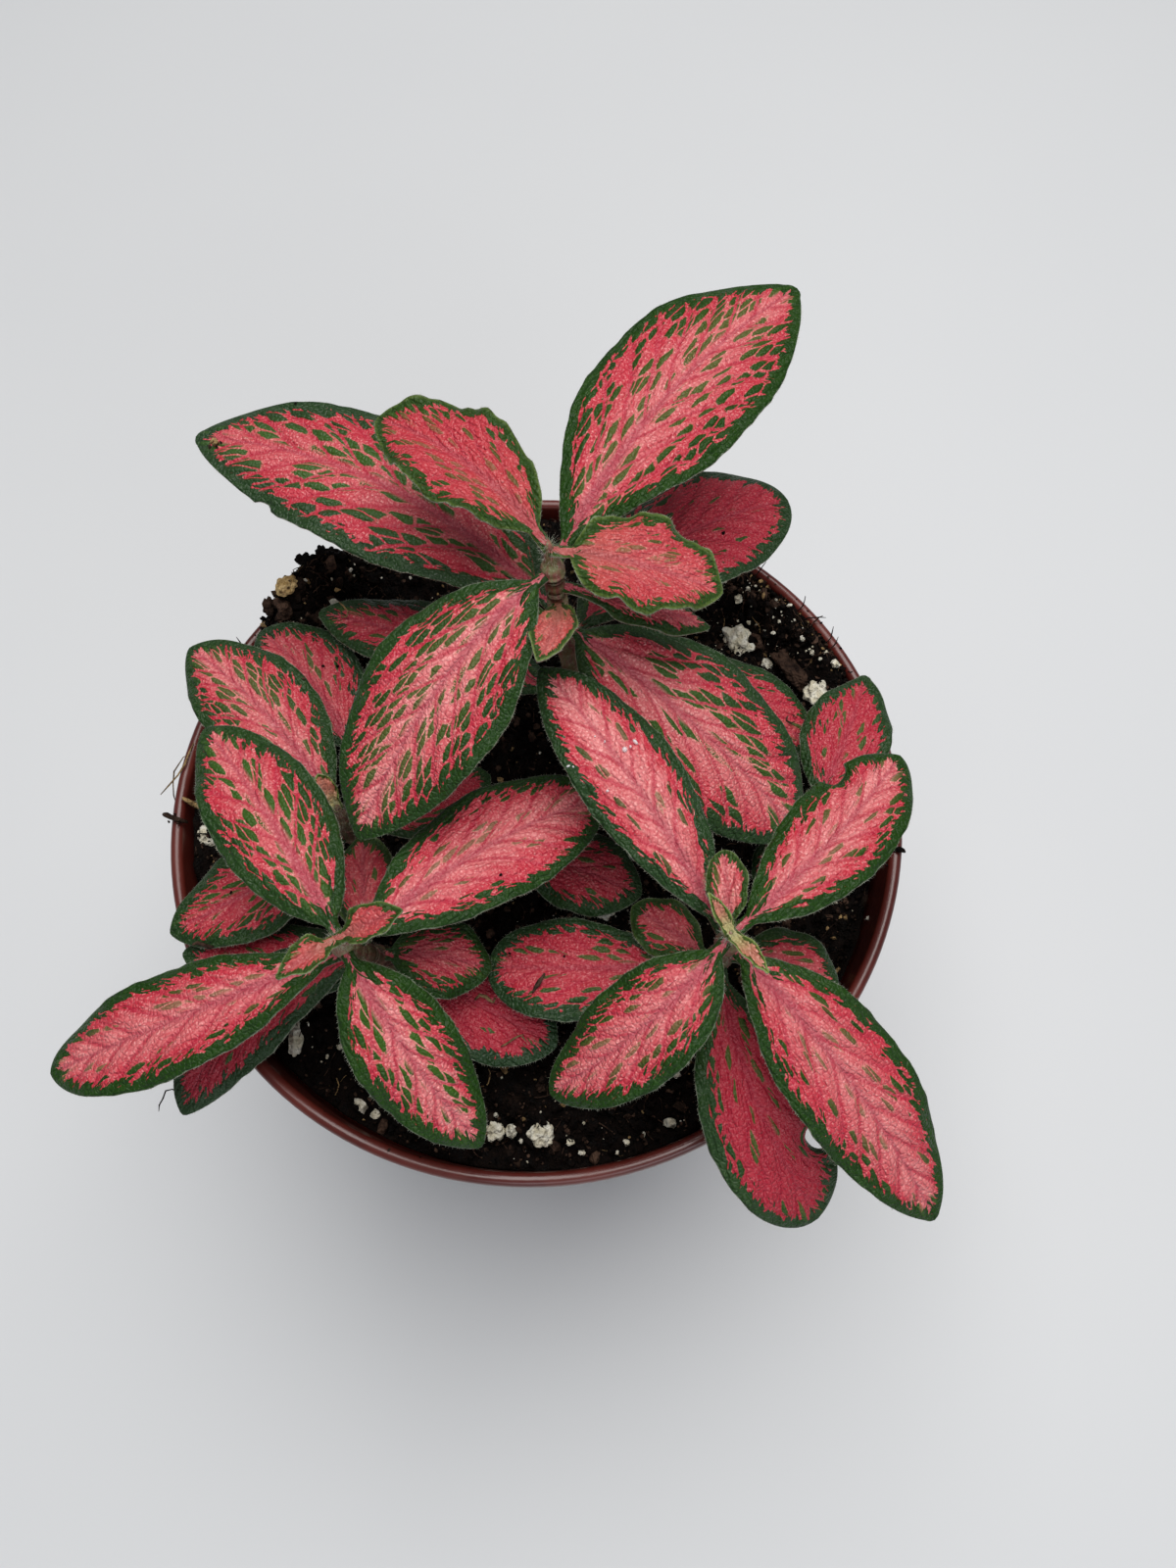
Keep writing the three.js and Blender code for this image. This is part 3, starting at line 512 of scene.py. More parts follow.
class Surface:
    """A material's or a group's nodes. Each call adds a node and gives back what it puts out."""

    def __init__(self, tree):
        self.tree = tree

    def put(self, socket, value):
        if isinstance(value, Value):
            self.tree.links.new(value.socket, socket)
        elif isinstance(value, tuple) and len(value) == 3 and socket.type == "RGBA":
            socket.default_value = (*value, 1)
        else:
            socket.default_value = value

    def fill(self, inputs, values):
        """Gives inputs, by name or number, their values."""
        for name, value in values.items():
            self.put(inputs[name], value)

    def node(self, kind, inputs=None, **settings):
        made = self.tree.nodes.new(kind)
        for key, value in settings.items():
            setattr(made, key, value)
        self.fill(made.inputs, inputs or {})
        return made

    def all_of(self, node):
        return {socket.name: Value(self, socket) for socket in node.outputs}

    def one(self, kind, inputs=None, output=0, **settings):
        return Value(self, self.node(kind, inputs, **settings).outputs[output])

    def math(self, operation, a, b=0.0):
        return self.one("ShaderNodeMath", {0: a, 1: b}, operation=operation)

    def ramp(self, value, low, high, to_low=0.0, to_high=1.0, smooth=True):
        return self.one("ShaderNodeMapRange", dict(enumerate((value, low, high, to_low, to_high))),
                        interpolation_type="SMOOTHSTEP" if smooth else "LINEAR")

    def mix(self, share, a, b):
        """A colour between a and b."""
        return self.one("ShaderNodeMix", {0: share, 6: a, 7: b}, output=2, data_type="RGBA")

    def blend(self, share, a, b):
        """A number between a and b."""
        return self.one("ShaderNodeMix", {0: share, 2: a, 3: b}, data_type="FLOAT")

    def split(self, value):
        return list(self.all_of(self.node("ShaderNodeSeparateXYZ", {0: value})).values())

    def shift(self, vector, by, amount):
        """vector plus by, a noise colour, centred and scaled by amount."""
        centred = self.one("ShaderNodeVectorMath", {0: by, 1: (0.5,) * 3}, operation="SUBTRACT")
        return self.one("ShaderNodeVectorMath", {0: centred, 1: (amount,) * 3, 2: vector},
                        operation="MULTIPLY_ADD")

    def stretch(self, vector, x, y, z=1.0):
        return self.one("ShaderNodeVectorMath", {0: vector, 1: (x, y, z)}, operation="MULTIPLY")

    def noise(self, vector, scale, detail, roughness=0.5, colour=False, plane=False):
        inputs = {"Vector": vector, "Scale": scale, "Detail": detail, "Roughness": roughness}
        return self.one("ShaderNodeTexNoise", inputs, output=1 if colour else 0,
                        noise_dimensions="2D" if plane else "3D")

    def cells(self, vector, scale, feature="F1", randomness=1.0, plane=False):
        inputs = {"Vector": vector, "Scale": scale, "Randomness": randomness}
        return self.all_of(self.node("ShaderNodeTexVoronoi", inputs, feature=feature,
                                     voronoi_dimensions="2D" if plane else "3D"))

    def uv(self, name):
        return self.one("ShaderNodeUVMap", uv_map=name)

    def mark(self, name):
        return self.one("ShaderNodeAttribute", output="Fac", attribute_name=name)

    def place(self):
        """Object coordinates, in millimetres."""
        here = self.one("ShaderNodeTexCoord", output="Object")
        return self.one("ShaderNodeVectorMath", {0: here, "Scale": 1 / MM}, operation="SCALE")

    def bump(self, height, distance, strength=1.0):
        return self.one("ShaderNodeBump", {"Strength": strength, "Distance": distance, "Height": height})

    def group(self, tree, vector):
        return self.all_of(self.node("ShaderNodeGroup", {"Vector": vector}, node_tree=tree))


def material(name):
    """A new material, the maker of its nodes, and the inputs of its Principled BSDF."""
    made = bpy.data.materials.new(name)
    made.use_nodes = True
    made.node_tree.nodes.clear()
    surface = Surface(made.node_tree)
    shader = surface.node("ShaderNodeBsdfPrincipled")
    end = surface.node("ShaderNodeOutputMaterial")
    surface.tree.links.new(shader.outputs[0], end.inputs[0])
    return made, surface, shader.inputs


def group(name, outputs):
    """A new node group that reads one Vector, the maker of its nodes, its Vector, and its outputs."""
    tree = bpy.data.node_groups.new(name, "ShaderNodeTree")
    tree.interface.new_socket("Vector", in_out="INPUT", socket_type="NodeSocketVector")
    for label in outputs:
        tree.interface.new_socket(label, in_out="OUTPUT", socket_type="NodeSocketFloat")
    surface = Surface(tree)
    return tree, surface, surface.one("NodeGroupInput"), surface.node("NodeGroupOutput").inputs


def grain_group():
    """Fine cell grain, in millimetre coordinates: a height, and a mask of its brightest specks."""
    tree, s, vector, outputs = group("fine_grain", ["Height", "Specks"])
    height = s.noise(vector, 3.1, 2.0, 0.6) * 0.6 + s.cells(vector, 2.8)["Distance"] * -0.5
    s.fill(outputs, {"Height": height, "Specks": s.ramp(height, 0.10, 0.24)})
    return tree


def mottle_group():
    """Slow, uneven variation, in millimetre coordinates."""
    tree, s, vector, outputs = group("mottle", ["Broad", "Blotch"])
    s.fill(outputs, {"Broad": s.noise(vector, 0.16, 3.0, 0.55), "Blotch": s.noise(vector, 0.75, 3.0, 0.6)})
    return tree


FINE_GRAIN = grain_group()
MOTTLE = mottle_group()


def leaf_material():
    made, s, shader = material("leaf_blade")
    place, raw_veins = s.uv("leaf"), s.uv("veins")
    edge, span, under = s.mark("edge"), s.mark("span"), s.mark("under")
    grey_sheen, crimson_and_shade, pale, lime = s.mark("grey_sheen"), s.mark("crimson_and_shade"), s.mark("pale"), s.mark("lime")
    size = s.mark("size")
    grain, mottle = s.group(FINE_GRAIN, place), s.group(MOTTLE, place)
    # the grain's brightest specks, painted as pale sparkle and greyish sheen on the blade
    painted_sparkle = grain["Specks"]
    veins = s.shift(raw_veins, s.noise(place, 0.55, 2.0, 0.55, colour=True, plane=True), 0.42)
    x, _, _ = s.split(veins)
    from_midrib = s.math("ABSOLUTE", s.split(place)[1])
    toward_edge = from_midrib / (from_midrib + edge + 0.3)

    # the network: large gaps between secondaries, each with its own chance
    density = s.blend(size, 1.12, 0.53)
    gap = s.cells(veins, density, "DISTANCE_TO_EDGE", 0.85, plane=True)["Distance"]
    cell = s.cells(veins, density, "F1", 0.85, plane=True)
    chance = s.split(cell["Color"])
    from_vein = s.math("PINGPONG", x, 1.0)
    ragged = s.noise(place, 2.6, 3.0, 0.65, plane=True)
    near_edge = s.ramp(edge, 1.6, 4.2, 1.0, 0.0)
    oval = s.blend(size, 0.31, 0.50) + chance[1] * 0.18 + (ragged - 0.5) * 0.38
    inside = s.math("MINIMUM", oval - cell["Distance"], gap - 0.07)
    held = s.math("LESS_THAN", chance[0], s.mark("islands") + near_edge * 0.10)
    clear = s.ramp(from_vein, 0.08, 0.2) * s.ramp(from_midrib, 0.4, 1.1)
    # those beside the midrib are partly dissolved
    crisp = s.ramp(toward_edge + chance[2] * 0.6, 0.12, 0.42)
    broken = s.ramp(s.noise(place, 4.5, 2.0, 0.6, plane=True) + crisp * 0.5, 0.47, 0.56)
    faint = s.blend(s.ramp(toward_edge, 0.15, 0.6), s.ramp(size, 0.25, 0.6, 0.5, 1.0), 1.0)
    island = s.ramp(inside, -0.02, 0.035) * held * clear * broken * faint
    halo = s.ramp(inside, -0.11, 0.0) * held * clear

    # the dark margin, with fingers of pink running into it along the veins
    comb = s.noise(s.stretch(veins, 3.1, 0.6), 1.0, 1.5, 0.6, plane=True)
    width = 0.68 + size * 0.55 + s.ramp(comb, 0.34, 0.68, smooth=False) * 1.1
    width = width + s.ramp(gap, 0.06, 0.16) * s.ramp(chance[2], 0.55, 0.65) * 0.8
    width = width * s.blend(lime, 1.0, 0.45)
    margin = s.ramp(edge - (width + (ragged - 0.5) * 0.5), -0.10, 0.10, 1.0, 0.0)
    green_share = s.math("MAXIMUM", margin, island)

    # pink ground, paler toward the midrib, with a fine net, the veins and pale specks of painted sparkle
    centre = s.ramp(toward_edge, 0.12, 0.72, 1.0, 0.0)
    streak = s.noise(s.stretch(veins, 2.4, 0.4), 1.0, 2.0, 0.6, plane=True)
    uneven = (mottle["Blotch"] - 0.35) * 0.6 + (streak - 0.45) * 1.6
    paleness = pale * (centre * 0.85 + uneven) - 0.12 + painted_sparkle * s.blend(size, 0.36, 0.72)
    paleness = s.math("MAXIMUM", s.math("MINIMUM", paleness, 1.0), 0.0)
    pink = s.mix(paleness, (0.52, 0.030, 0.050), (0.88, 0.38, 0.36))
    fine_net = s.cells(place, 1.5, "DISTANCE_TO_EDGE", 0.9, plane=True)["Distance"]
    pink = s.mix(s.ramp(fine_net, 0.02, 0.2, 1.0, 0.0) * 0.30, pink, (0.52, 0.024, 0.055))
    line = s.ramp(from_vein, 0.04, 0.34, 1.0, 0.0) * s.ramp(toward_edge, 0.45, 0.95, 0.7, 0.25)
    pink = s.mix(line, pink, (0.44, 0.018, 0.047))
    rib_width = 0.26 + s.math("POWER", 1.0 - span, 1.6) * 1.05
    rib = s.ramp(from_midrib / rib_width, 0.35, 1.2, 1.0, 0.0)
    pink = s.mix(rib * s.ramp(span, 0.1, 0.6, 0.75, 0.5), pink, (0.37, 0.052, 0.080))
    # with paler specks of painted sparkle in the crimson
    crimson = s.mix(painted_sparkle * 0.35, (0.30, 0.006, 0.022), (0.50, 0.05, 0.085))
    # deeper crimson: partly the leaf's own colour, partly painted shade on the low leaves
    pink = s.mix(crimson_and_shade * 0.85, pink, crimson)
    # a tan halo round the islands, and a lime base on young leaves
    rim_tone = halo * (pale + 0.15) * s.ramp(toward_edge, 0.2, 0.8, 0.8, 0.0)
    pink = s.mix(rim_tone * s.ramp(ragged, 0.35, 0.6, 0.35, 1.0), pink, (0.54, 0.31, 0.19))
    pink = s.mix(lime * lime * s.ramp(span, 0.10, 0.6, 0.95, 0.3), pink, (0.40, 0.38, 0.16))

    # greens, with a painted sheen: greyer on some leaves, and pale granular specks of it
    green = s.mix(grey_sheen, (0.012, 0.046, 0.002), (0.013, 0.035, 0.014))
    green = s.mix(painted_sparkle * 0.55, green, s.mix(grey_sheen, (0.030, 0.080, 0.007), (0.078, 0.115, 0.082)))
    green = s.mix(s.ramp(mottle["Blotch"], 0.4, 0.7) * 0.45, green, (0.006, 0.025, 0.003))
    green = s.mix(island * s.ramp(toward_edge, 0.2, 0.75, 0.5, 0.05), green, (0.065, 0.145, 0.014))
    green = s.mix(lime * s.ramp(edge, 0.1, 0.5, 1.0, 0.15), green, (0.22, 0.29, 0.07))
    upper = s.mix(green_share, pink, green)

    # underside: pale, greyish, with the veins standing out
    low = s.mix(green_share * 0.6, (0.42, 0.19, 0.19), (0.19, 0.25, 0.16))
    low = s.mix(s.math("MAXIMUM", line * 0.5, rib), low, (0.55, 0.36, 0.32))
    # the underside deepens with the same mark, partly painted shade
    low = s.mix(crimson_and_shade * 0.35, low, (0.25, 0.04, 0.06))
    colour = s.mix(s.ramp(under, 0.35, 0.65), upper, low)
    rim = s.ramp(edge, 0.02, 0.16, 1.0, 0.0) * 0.55

    height = grain["Height"] * 0.45 + s.ramp(fine_net, 0.0, 0.3) * 0.55 + s.ramp(gap, 0.0, 0.35) * 0.8
    s.fill(shader, {
        "Base Color": s.mix(rim, colour, (0.30, 0.33, 0.25)),
        "Roughness": 0.40 + (mottle["Broad"] - 0.5) * 0.25 + crimson_and_shade * 0.08,
        "Normal": s.bump(height, 0.16 * MM),
        "Specular IOR Level": s.blend(green_share * (1.0 - grey_sheen), 0.40, 0.16),
        "Sheen Weight": 0.02,
        "Sheen Roughness": 0.4,
    })
    return made


def hair_material():
    made, s, shader = material("leaf_hair")
    tone = s.noise(s.place(), 0.4, 2.0)
    s.fill(shader, {
        "Base Color": s.mix(s.ramp(tone, 0.35, 0.65), (0.34, 0.37, 0.25), (0.60, 0.60, 0.50)),
        "Roughness": s.ramp(tone, 0.2, 0.8, 0.45, 0.7),
    })
    return made


def stem_material():
    made, s, shader = material("hairy_stem")
    place = s.place()
    grain, blotch = s.group(FINE_GRAIN, place), s.group(MOTTLE, place)["Blotch"]
    streak = s.noise(s.stretch(place, 1.6, 1.6, 0.25), 1.0, 3.0)
    colour = s.mix(s.ramp(streak, 0.35, 0.65), (0.20, 0.20, 0.08), (0.28, 0.085, 0.07))
    colour = s.mix(s.ramp(blotch, 0.4, 0.75) * 0.3, colour, (0.10, 0.13, 0.045))
    colour = s.mix(grain["Specks"] * 0.35, colour, (0.50, 0.48, 0.34))
    # painted shade: darker and browner low down, where the leaves shade the stem
    colour = s.mix(s.ramp(s.split(place)[2], 100.0, 126.0, 0.6, 0.0), colour, (0.055, 0.024, 0.016))
    s.fill(shader, {
        "Base Color": colour,
        "Roughness": s.ramp(streak, 0.2, 0.8, 0.45, 0.65),
        "Normal": s.bump(grain["Height"] + streak, 0.12 * MM, 0.8),
    })
    return made


def soil_material():
    """Damp mix. The mark tone, from 0 to 1, takes a crumb from black peat to tan bark."""
    made, s, shader = material("potting_soil")
    place = s.place()
    grain, blotch = s.group(FINE_GRAIN, place), s.group(MOTTLE, place)["Blotch"]
    tone = s.mark("tone")
    dark = s.mix(s.ramp(blotch, 0.35, 0.65), (0.0016, 0.0011, 0.0010), (0.0062, 0.0036, 0.0028))
    brown = s.mix(s.ramp(blotch, 0.3, 0.65), (0.016, 0.008, 0.0056), (0.095, 0.055, 0.038))
    tan = s.mix(s.ramp(blotch, 0.3, 0.7), (0.16, 0.095, 0.042), (0.46, 0.31, 0.14))
    pits = s.ramp(s.cells(place, 0.8)["Distance"], 0.12, 0.34)
    pale = s.mix(s.ramp(blotch, 0.35, 0.6), (0.38, 0.24, 0.09), (0.72, 0.52, 0.25))
    pale = s.mix(pits, (0.07, 0.035, 0.014), pale)
    colour = s.mix(s.ramp(tone, 0.45, 0.8), dark, brown)
    colour = s.mix(s.ramp(tone, 0.86, 0.95), colour, tan)
    colour = s.mix(s.ramp(tone, 0.95, 0.99), colour, pale)
    s.fill(shader, {
        "Base Color": s.mix(grain["Specks"] * 0.14, colour, (0.03, 0.019, 0.014)),
        "Roughness": s.ramp(blotch, 0.3, 0.6, 0.55, 0.95),
        "Normal": s.bump(grain["Height"] + blotch, 0.4 * MM, 0.9),
        "Specular IOR Level": 0.09,
    })
    return made


def perlite_material():
    made, s, shader = material("perlite")
    place = s.place()
    grain, mottle = s.group(FINE_GRAIN, place)["Height"], s.group(MOTTLE, place)
    pits = s.cells(place, 1.3)["Distance"]
    colour = s.mix(s.ramp(mottle["Blotch"], 0.35, 0.7), (0.62, 0.57, 0.42), (0.80, 0.78, 0.68))
    colour = s.mix(s.ramp(pits, 0.0, 0.28, 0.75, 0.0), colour, (0.22, 0.16, 0.09))
    s.fill(shader, {
        "Base Color": s.mix(s.ramp(mottle["Broad"], 0.5, 0.7) * 0.5, colour, (0.16, 0.11, 0.07)),
        "Roughness": s.ramp(grain, 0.0, 0.6, 0.7, 0.95),
        "Normal": s.bump(grain + pits * 1.4, 0.4 * MM, 0.8),
    })
    return made


def pot_material():
    made, s, shader = material("pot_plastic")
    place = s.place()
    blotch = s.group(MOTTLE, place)["Blotch"]
    x, y, z = s.split(place)
    cloud = s.noise(s.stretch(place, 1.0, 1.0, 0.35), 0.09, 3.0)
    colour = s.mix(s.ramp(cloud, 0.35, 0.65), (0.075, 0.0105, 0.0072), (0.115, 0.0165, 0.0105))
    # dried splashes and dust, most of them low on the wall
    dust = s.ramp(blotch, 0.52, 0.72) * s.ramp(z, 4.0, 40.0, 0.6, 0.12)
    colour = s.mix(dust * 0.5, colour, (0.13, 0.075, 0.055))
    # dark damp smears on the inside of the collar
    inside = s.ramp(s.math("SQRT", x * x + y * y), 49.0, COLLAR_FOOT, 1.0, 0.0) * s.ramp(z, 79.0, 81.0)
    smear = inside * s.ramp(z, 84.0, 91.8, 1.0, 0.0) * s.ramp(blotch, 0.42, 0.6)
    rings = s.noise(s.stretch(place, 0.02, 0.02, 1.0), 0.7, 2.0)
    s.fill(shader, {
        "Base Color": s.mix(smear * 0.85, colour, (0.016, 0.009, 0.007)),
        "Roughness": s.ramp(cloud, 0.3, 0.7, 0.28, 0.40) + dust * 0.4 + smear * 0.4,
        "Normal": s.bump(rings * 0.8 + s.noise(place, 1.4, 2.0) * 0.25, 0.12 * MM, 0.6),
        "Coat Weight": 0.15,
        "Coat Roughness": 0.2,
    })
    return made


def water_material():
    made, s, shader = material("water_drop")
    tone = s.noise(s.place(), 2.0, 1.0)
    s.fill(shader, {
        # a near-white colour, a painted glint, so the drops read as white sparkles
        "Base Color": s.mix(tone * 0.2, (1.0, 0.98, 0.98), (0.9, 0.95, 1.0)),
        "Roughness": s.ramp(tone, 0.2, 0.8, 0.02, 0.06),
        "Transmission Weight": 0.5,
        "IOR": 1.33,
    })
    return made


def floor_material():
    made, s, shader = material("pale_floor")
    tone = s.noise(s.place(), 0.004, 3.0)
    s.fill(shader, {"Base Color": s.mix(tone, (0.60, 0.61, 0.63), (0.66, 0.67, 0.68)), "Roughness": 0.55})
    return made


LEAF, HAIR, STEM, SOIL = leaf_material(), hair_material(), stem_material(), soil_material()
PERLITE, POT, WATER = perlite_material(), pot_material(), water_material()


# ------------------------------------------------------------------ camera, light and floor
CAMERA_PLACE = (0.0107, -0.0620, 0.2495)
CAMERA_WAY, CAMERA_UP = (-0.018, 0.380, -0.925), (0.007, 0.925, 0.380)
LENS = 27.05
SKY, SKY_STRENGTH = (0.86, 0.92, 1.0, 1), 0.19


def make_camera():
    data = bpy.data.cameras.new("camera")
    data.lens = LENS
    data.sensor_width = 36
    data.sensor_fit = "AUTO"
    data.clip_start = 0.01
    camera = link("camera", data)
    forward = Vector(CAMERA_WAY).normalized()
    right = forward.cross(Vector(CAMERA_UP)).normalized()
    turned = Matrix((right, right.cross(forward), -forward)).transposed()
    camera.matrix_world = Matrix.Translation(CAMERA_PLACE) @ turned.to_4x4()
    bpy.context.scene.camera = camera


def soft_light(name, place, aim, size, power, colour):
    data = bpy.data.lights.new(name, "AREA")
    data.shape = "RECTANGLE"
    data.size, data.size_y = size
    data.energy = power
    data.color = colour
    light = link(name, data)
    light.location = place
    light.rotation_euler = (Vector(aim) - Vector(place)).to_track_quat("-Z", "Y").to_euler()


def make_studio():
    world = bpy.data.worlds.new("studio")
    world.use_nodes = True
    sky = world.node_tree.nodes["Background"].inputs
    sky[0].default_value, sky[1].default_value = SKY, SKY_STRENGTH
    bpy.context.scene.world = world
    bpy.context.scene.view_settings.view_transform = "Standard"
    soft_light("overhead", (0.06, 0.2, 0.95), (0, 0, 0.08), (0.8, 0.8), 10.0, (1.0, 0.98, 0.95))
    soft_light("front_window", (0.25, -0.9, 0.55), (0, 0, 0.1), (0.9, 0.5), 3.2, (0.9, 0.95, 1.0))
    bm = bmesh.new()
    bmesh.ops.create_grid(bm, x_segments=2, y_segments=2, size=1.6)
    floor = link("floor", mesh_of("floor", bm))
    floor.data.materials.append(floor_material())


make_camera()
make_studio()


# ------------------------------------------------------------------ pot
def spun(profile, steps):
    """A closed outline in the XZ plane, [radius, height] in millimetres, turned about +Z."""
    bm = bmesh.new()
    corners = [bm.verts.new((r * MM, 0, z * MM)) for r, z in profile]
    edges = [bm.edges.new((a, b)) for a, b in zip(corners, corners[1:] + corners[:1])]
    bmesh.ops.spin(bm, geom=corners + edges, cent=(0, 0, 0), axis=(0, 0, 1), angle=TURN, steps=steps,
                   use_merge=True)
    bmesh.ops.remove_doubles(bm, verts=bm.verts[:], dist=1e-6)
    return bm


def arc(cx, cz, radius, start, end, steps):
    angles = np.radians(np.linspace(start, end, steps + 1))
    return [(cx + radius * math.cos(a), cz + radius * math.sin(a)) for a in angles]


def pot_profile():
    """The pot's section, from under its base up the outside, over the lip and down the inside."""
    lip_inside, collar_inside = LIP_RADIUS - 2 * LIP_HALF, COLLAR_FOOT - WALL
    inner_top, inner_foot = STEP_Z + 0.8, STEP_Z - 0.4
    bead = [(-0.62, 4.2), (-0.52, 3.0), (-0.42, 2.65), (-0.12, 2.42), (-0.02, 2.1)]
    return [
        *[(BASE_RADIUS - inset, z) for inset, z in ((3.4, 0.5), (3.0, 0.1), (2.6, 0.0))],
        *arc(BASE_RADIUS - 0.9, 0.9, 0.9, -90, -10, 5),
        *[(outer_wall(z), z) for z in (6, 18, 30, 42, 54, 66)],
        (WALL_TOP - 0.15, STEP_Z - 1.4),
        (WALL_TOP + 0.05, STEP_Z - 1.05),
        *arc(COLLAR_FOOT - 0.5, STEP_Z + 0.5, 0.5, -80, -5, 4),
        (COLLAR_FOOT + 0.35, STEP_Z + 4),
        *[(LIP_RADIUS + out, POT_HEIGHT - down) for out, down in bead],
        *arc(LIP_RADIUS - LIP_HALF, POT_HEIGHT - LIP_HALF, LIP_HALF, 0, 180, 12),
        (lip_inside - 0.05, POT_HEIGHT - 1.6),
        (lip_inside - 0.35, POT_HEIGHT - 4),
        (collar_inside + 0.3, inner_top + 4),
        (collar_inside + 0.02, inner_top + 0.4),
        (collar_inside - 0.3, inner_top),
        (inner_wall(STEP_Z) + 0.25, inner_foot + 0.3),
        (inner_wall(STEP_Z), inner_foot - 0.3),
        *[(inner_wall(z), z) for z in (60, 40, 20, 8, FLOOR + 1)],
        (inner_wall(FLOOR) - 0.5, FLOOR + 0.25),
        (inner_wall(FLOOR) - 1.6, FLOOR),
        (BASE_RADIUS - 3.4, FLOOR),
    ]


def make_pot():
    bm = spun(pot_profile(), 160)
    # the floor inside the foot ring, with its drain holes
    rims = [((0, 0), 160, BASE_RADIUS - 3.35)]
    rims += [(round_at(DRAIN_RING, TURN * i / DRAIN_HOLES), 32, DRAIN_RADIUS) for i in range(DRAIN_HOLES)]
    edges = []
    for (x, y), segments, radius in rims:
        ring = bmesh.ops.create_circle(bm, cap_ends=False, segments=segments, radius=radius * MM,
                                       matrix=Matrix.Translation((x * MM, y * MM, 0)))["verts"]
        edges += dict.fromkeys(e for v in ring for e in v.link_edges)
    plate = bmesh.ops.triangle_fill(bm, edges=edges, use_beauty=True, use_dissolve=False)["geom"]
    faces = [g for g in plate if isinstance(g, bmesh.types.BMFace)]
    for v in {v for f in faces for v in f.verts}:
        v.co.z = 0.5 * MM
    for v in extruded(bm, faces)[0]:
        v.co.z = FLOOR * MM
    mesh = mesh_of("nursery_pot", bm, outward=True)
    piece("nursery_pot", mesh, POT, ["pot"])
    mesh.set_sharp_from_angle(angle=math.radians(50))


make_pot()


# ------------------------------------------------------------------ soil
RIM = 49.2      # how far out loose soil lies
# banks against the wall, at the right rear and at the left: height, angle and spread
BANKS = ((5.0, 0.52, 0.34), (3.0, 3.19, 0.28))
# the crumbly texture: height, pace and seed
RIPPLES = ((1.9, 0.8, 3), (1.6, 1.9, 4), (0.9, 3.9, 5))
# how many there are of each, and of those on the heap, at its brow, in the bank and over the lip
CRUMBS, SPILLED, BANKED = 8600, 1100, 600
CLODS, HEAP_CLODS, REAR_CLODS, BROW_CLODS = 190, 110, 35, 75
GRIT, FIBRES, SMALL_SPECKS = 9000, 1500, 490


def ripple(x, y, scale, seed):
    """Smooth uneven heights from a few crossed waves."""
    rng = np.random.default_rng(seed)
    waves = 7
    total = np.zeros_like(x)
    for _ in range(waves):
        angle = rng.uniform(0, TURN)
        pace = scale * rng.uniform(0.6, 1.5)
        total = total + np.sin(pace * (x * math.cos(angle) + y * math.sin(angle)) + rng.uniform(0, 6.3))
    return total / waves


def rough_soil(x, y):
    """The soil's surface with its crumbly texture, heaped against the wall in two places."""
    height = soil_height(x, y) - 0.35
    for rise, angle, spread in BANKS:
        off = np.angle(np.exp(1j * (np.arctan2(y, x) - angle)))
        height = height + rise * smoothstep(np.hypot(x, y), 43.0, 49.3) * np.exp(-((off / spread) ** 2))
    for rise, scale, seed in RIPPLES:
        height = height + rise * ripple(x, y, scale, seed)
    return height


def make_soil():
    rows = [(SOIL_EDGE * i / 105, None) for i in range(106)]
    rows += [(SOIL_EDGE, STEP_Z + 1.2), (inner_wall(STEP_Z) - GAP, STEP_Z - 0.4)]
    rows += [(inner_wall(z) - GAP, z) for z in (50, 25, 5, FLOOR + GAP)]
    rows += [(r, FLOOR + GAP) for r in (26, 15, 5, 0)]
    bm = bmesh.new()
    bmesh.ops.create_grid(bm, x_segments=len(rows) - 1, y_segments=330, size=0.5)
    for vert in bm.verts:
        radius, z = rows[round((vert.co.x + 0.5) * (len(rows) - 1))]
        vert.co = (*round_at(radius, TURN * (vert.co.y + 0.5)), -1 if z is None else z)
    bmesh.ops.remove_doubles(bm, verts=bm.verts[:], dist=1e-4)
    mesh = mesh_of("potting_soil", bm)
    points = points_of(mesh)
    x, y, top = points[:, 0], points[:, 1], points[:, 2] < 0
    points[top, 2] = rough_soil(x[top], y[top])
    set_points(mesh, points * MM)
    bm = bmesh.new()
    bm.from_mesh(mesh)
    write_mesh(mesh, bm, outward=True)
    point_attribute(mesh, "tone", 0.35 + 0.35 * ripple(x, y, 0.8, 9))
    piece("potting_soil", mesh, SOIL, ["soil"])


def lumps(name, places, sizes, stretches, seed, material, tone=None, level=1, rough=0.22, knobs=0,
          smooth=False):
    """A piece of many small uneven lumps, each with a number of knobs growing out of it."""
    rng = np.random.default_rng(seed)
    bm = bmesh.new()
    bmesh.ops.create_icosphere(bm, subdivisions=level, radius=1)
    unit = mesh_of(name, bm)
    count, corners = len(places), len(unit.vertices)
    mesh = copies(unit, count)
    shape = points_of(mesh).reshape(count, corners, 3)
    if knobs:
        core, tightness = 0.62, 9
        ways = unit_rows(rng.standard_normal((count * knobs, 3))).reshape(count, knobs, 3)
        reach = np.exp(-tightness * (1 - np.einsum("ncd,nkd->nck", shape, ways)))
        reach = reach * rng.uniform(0.3, 0.8, (count, 1, knobs))
        shape = shape * (core + reach.max(axis=2))[:, :, None]
    shape = shape * (1 + rough * rng.standard_normal((count, corners, 1)))
    shape = shape * (sizes[:, None] * stretches)[:, None, :]
    along = unit_rows(rng.standard_normal((count, 3)))
    basis = np.stack([along, *frames_along(along)], axis=1)
    shape = np.einsum("nkc,ncd->nkd", shape, basis) + places[:, None, :]
    set_points(mesh, shape.reshape(-1, 3) * MM)
    if tone is not None:
        point_attribute(mesh, "tone", np.repeat(tone, corners))
    piece(name, mesh, material, smooth=smooth)


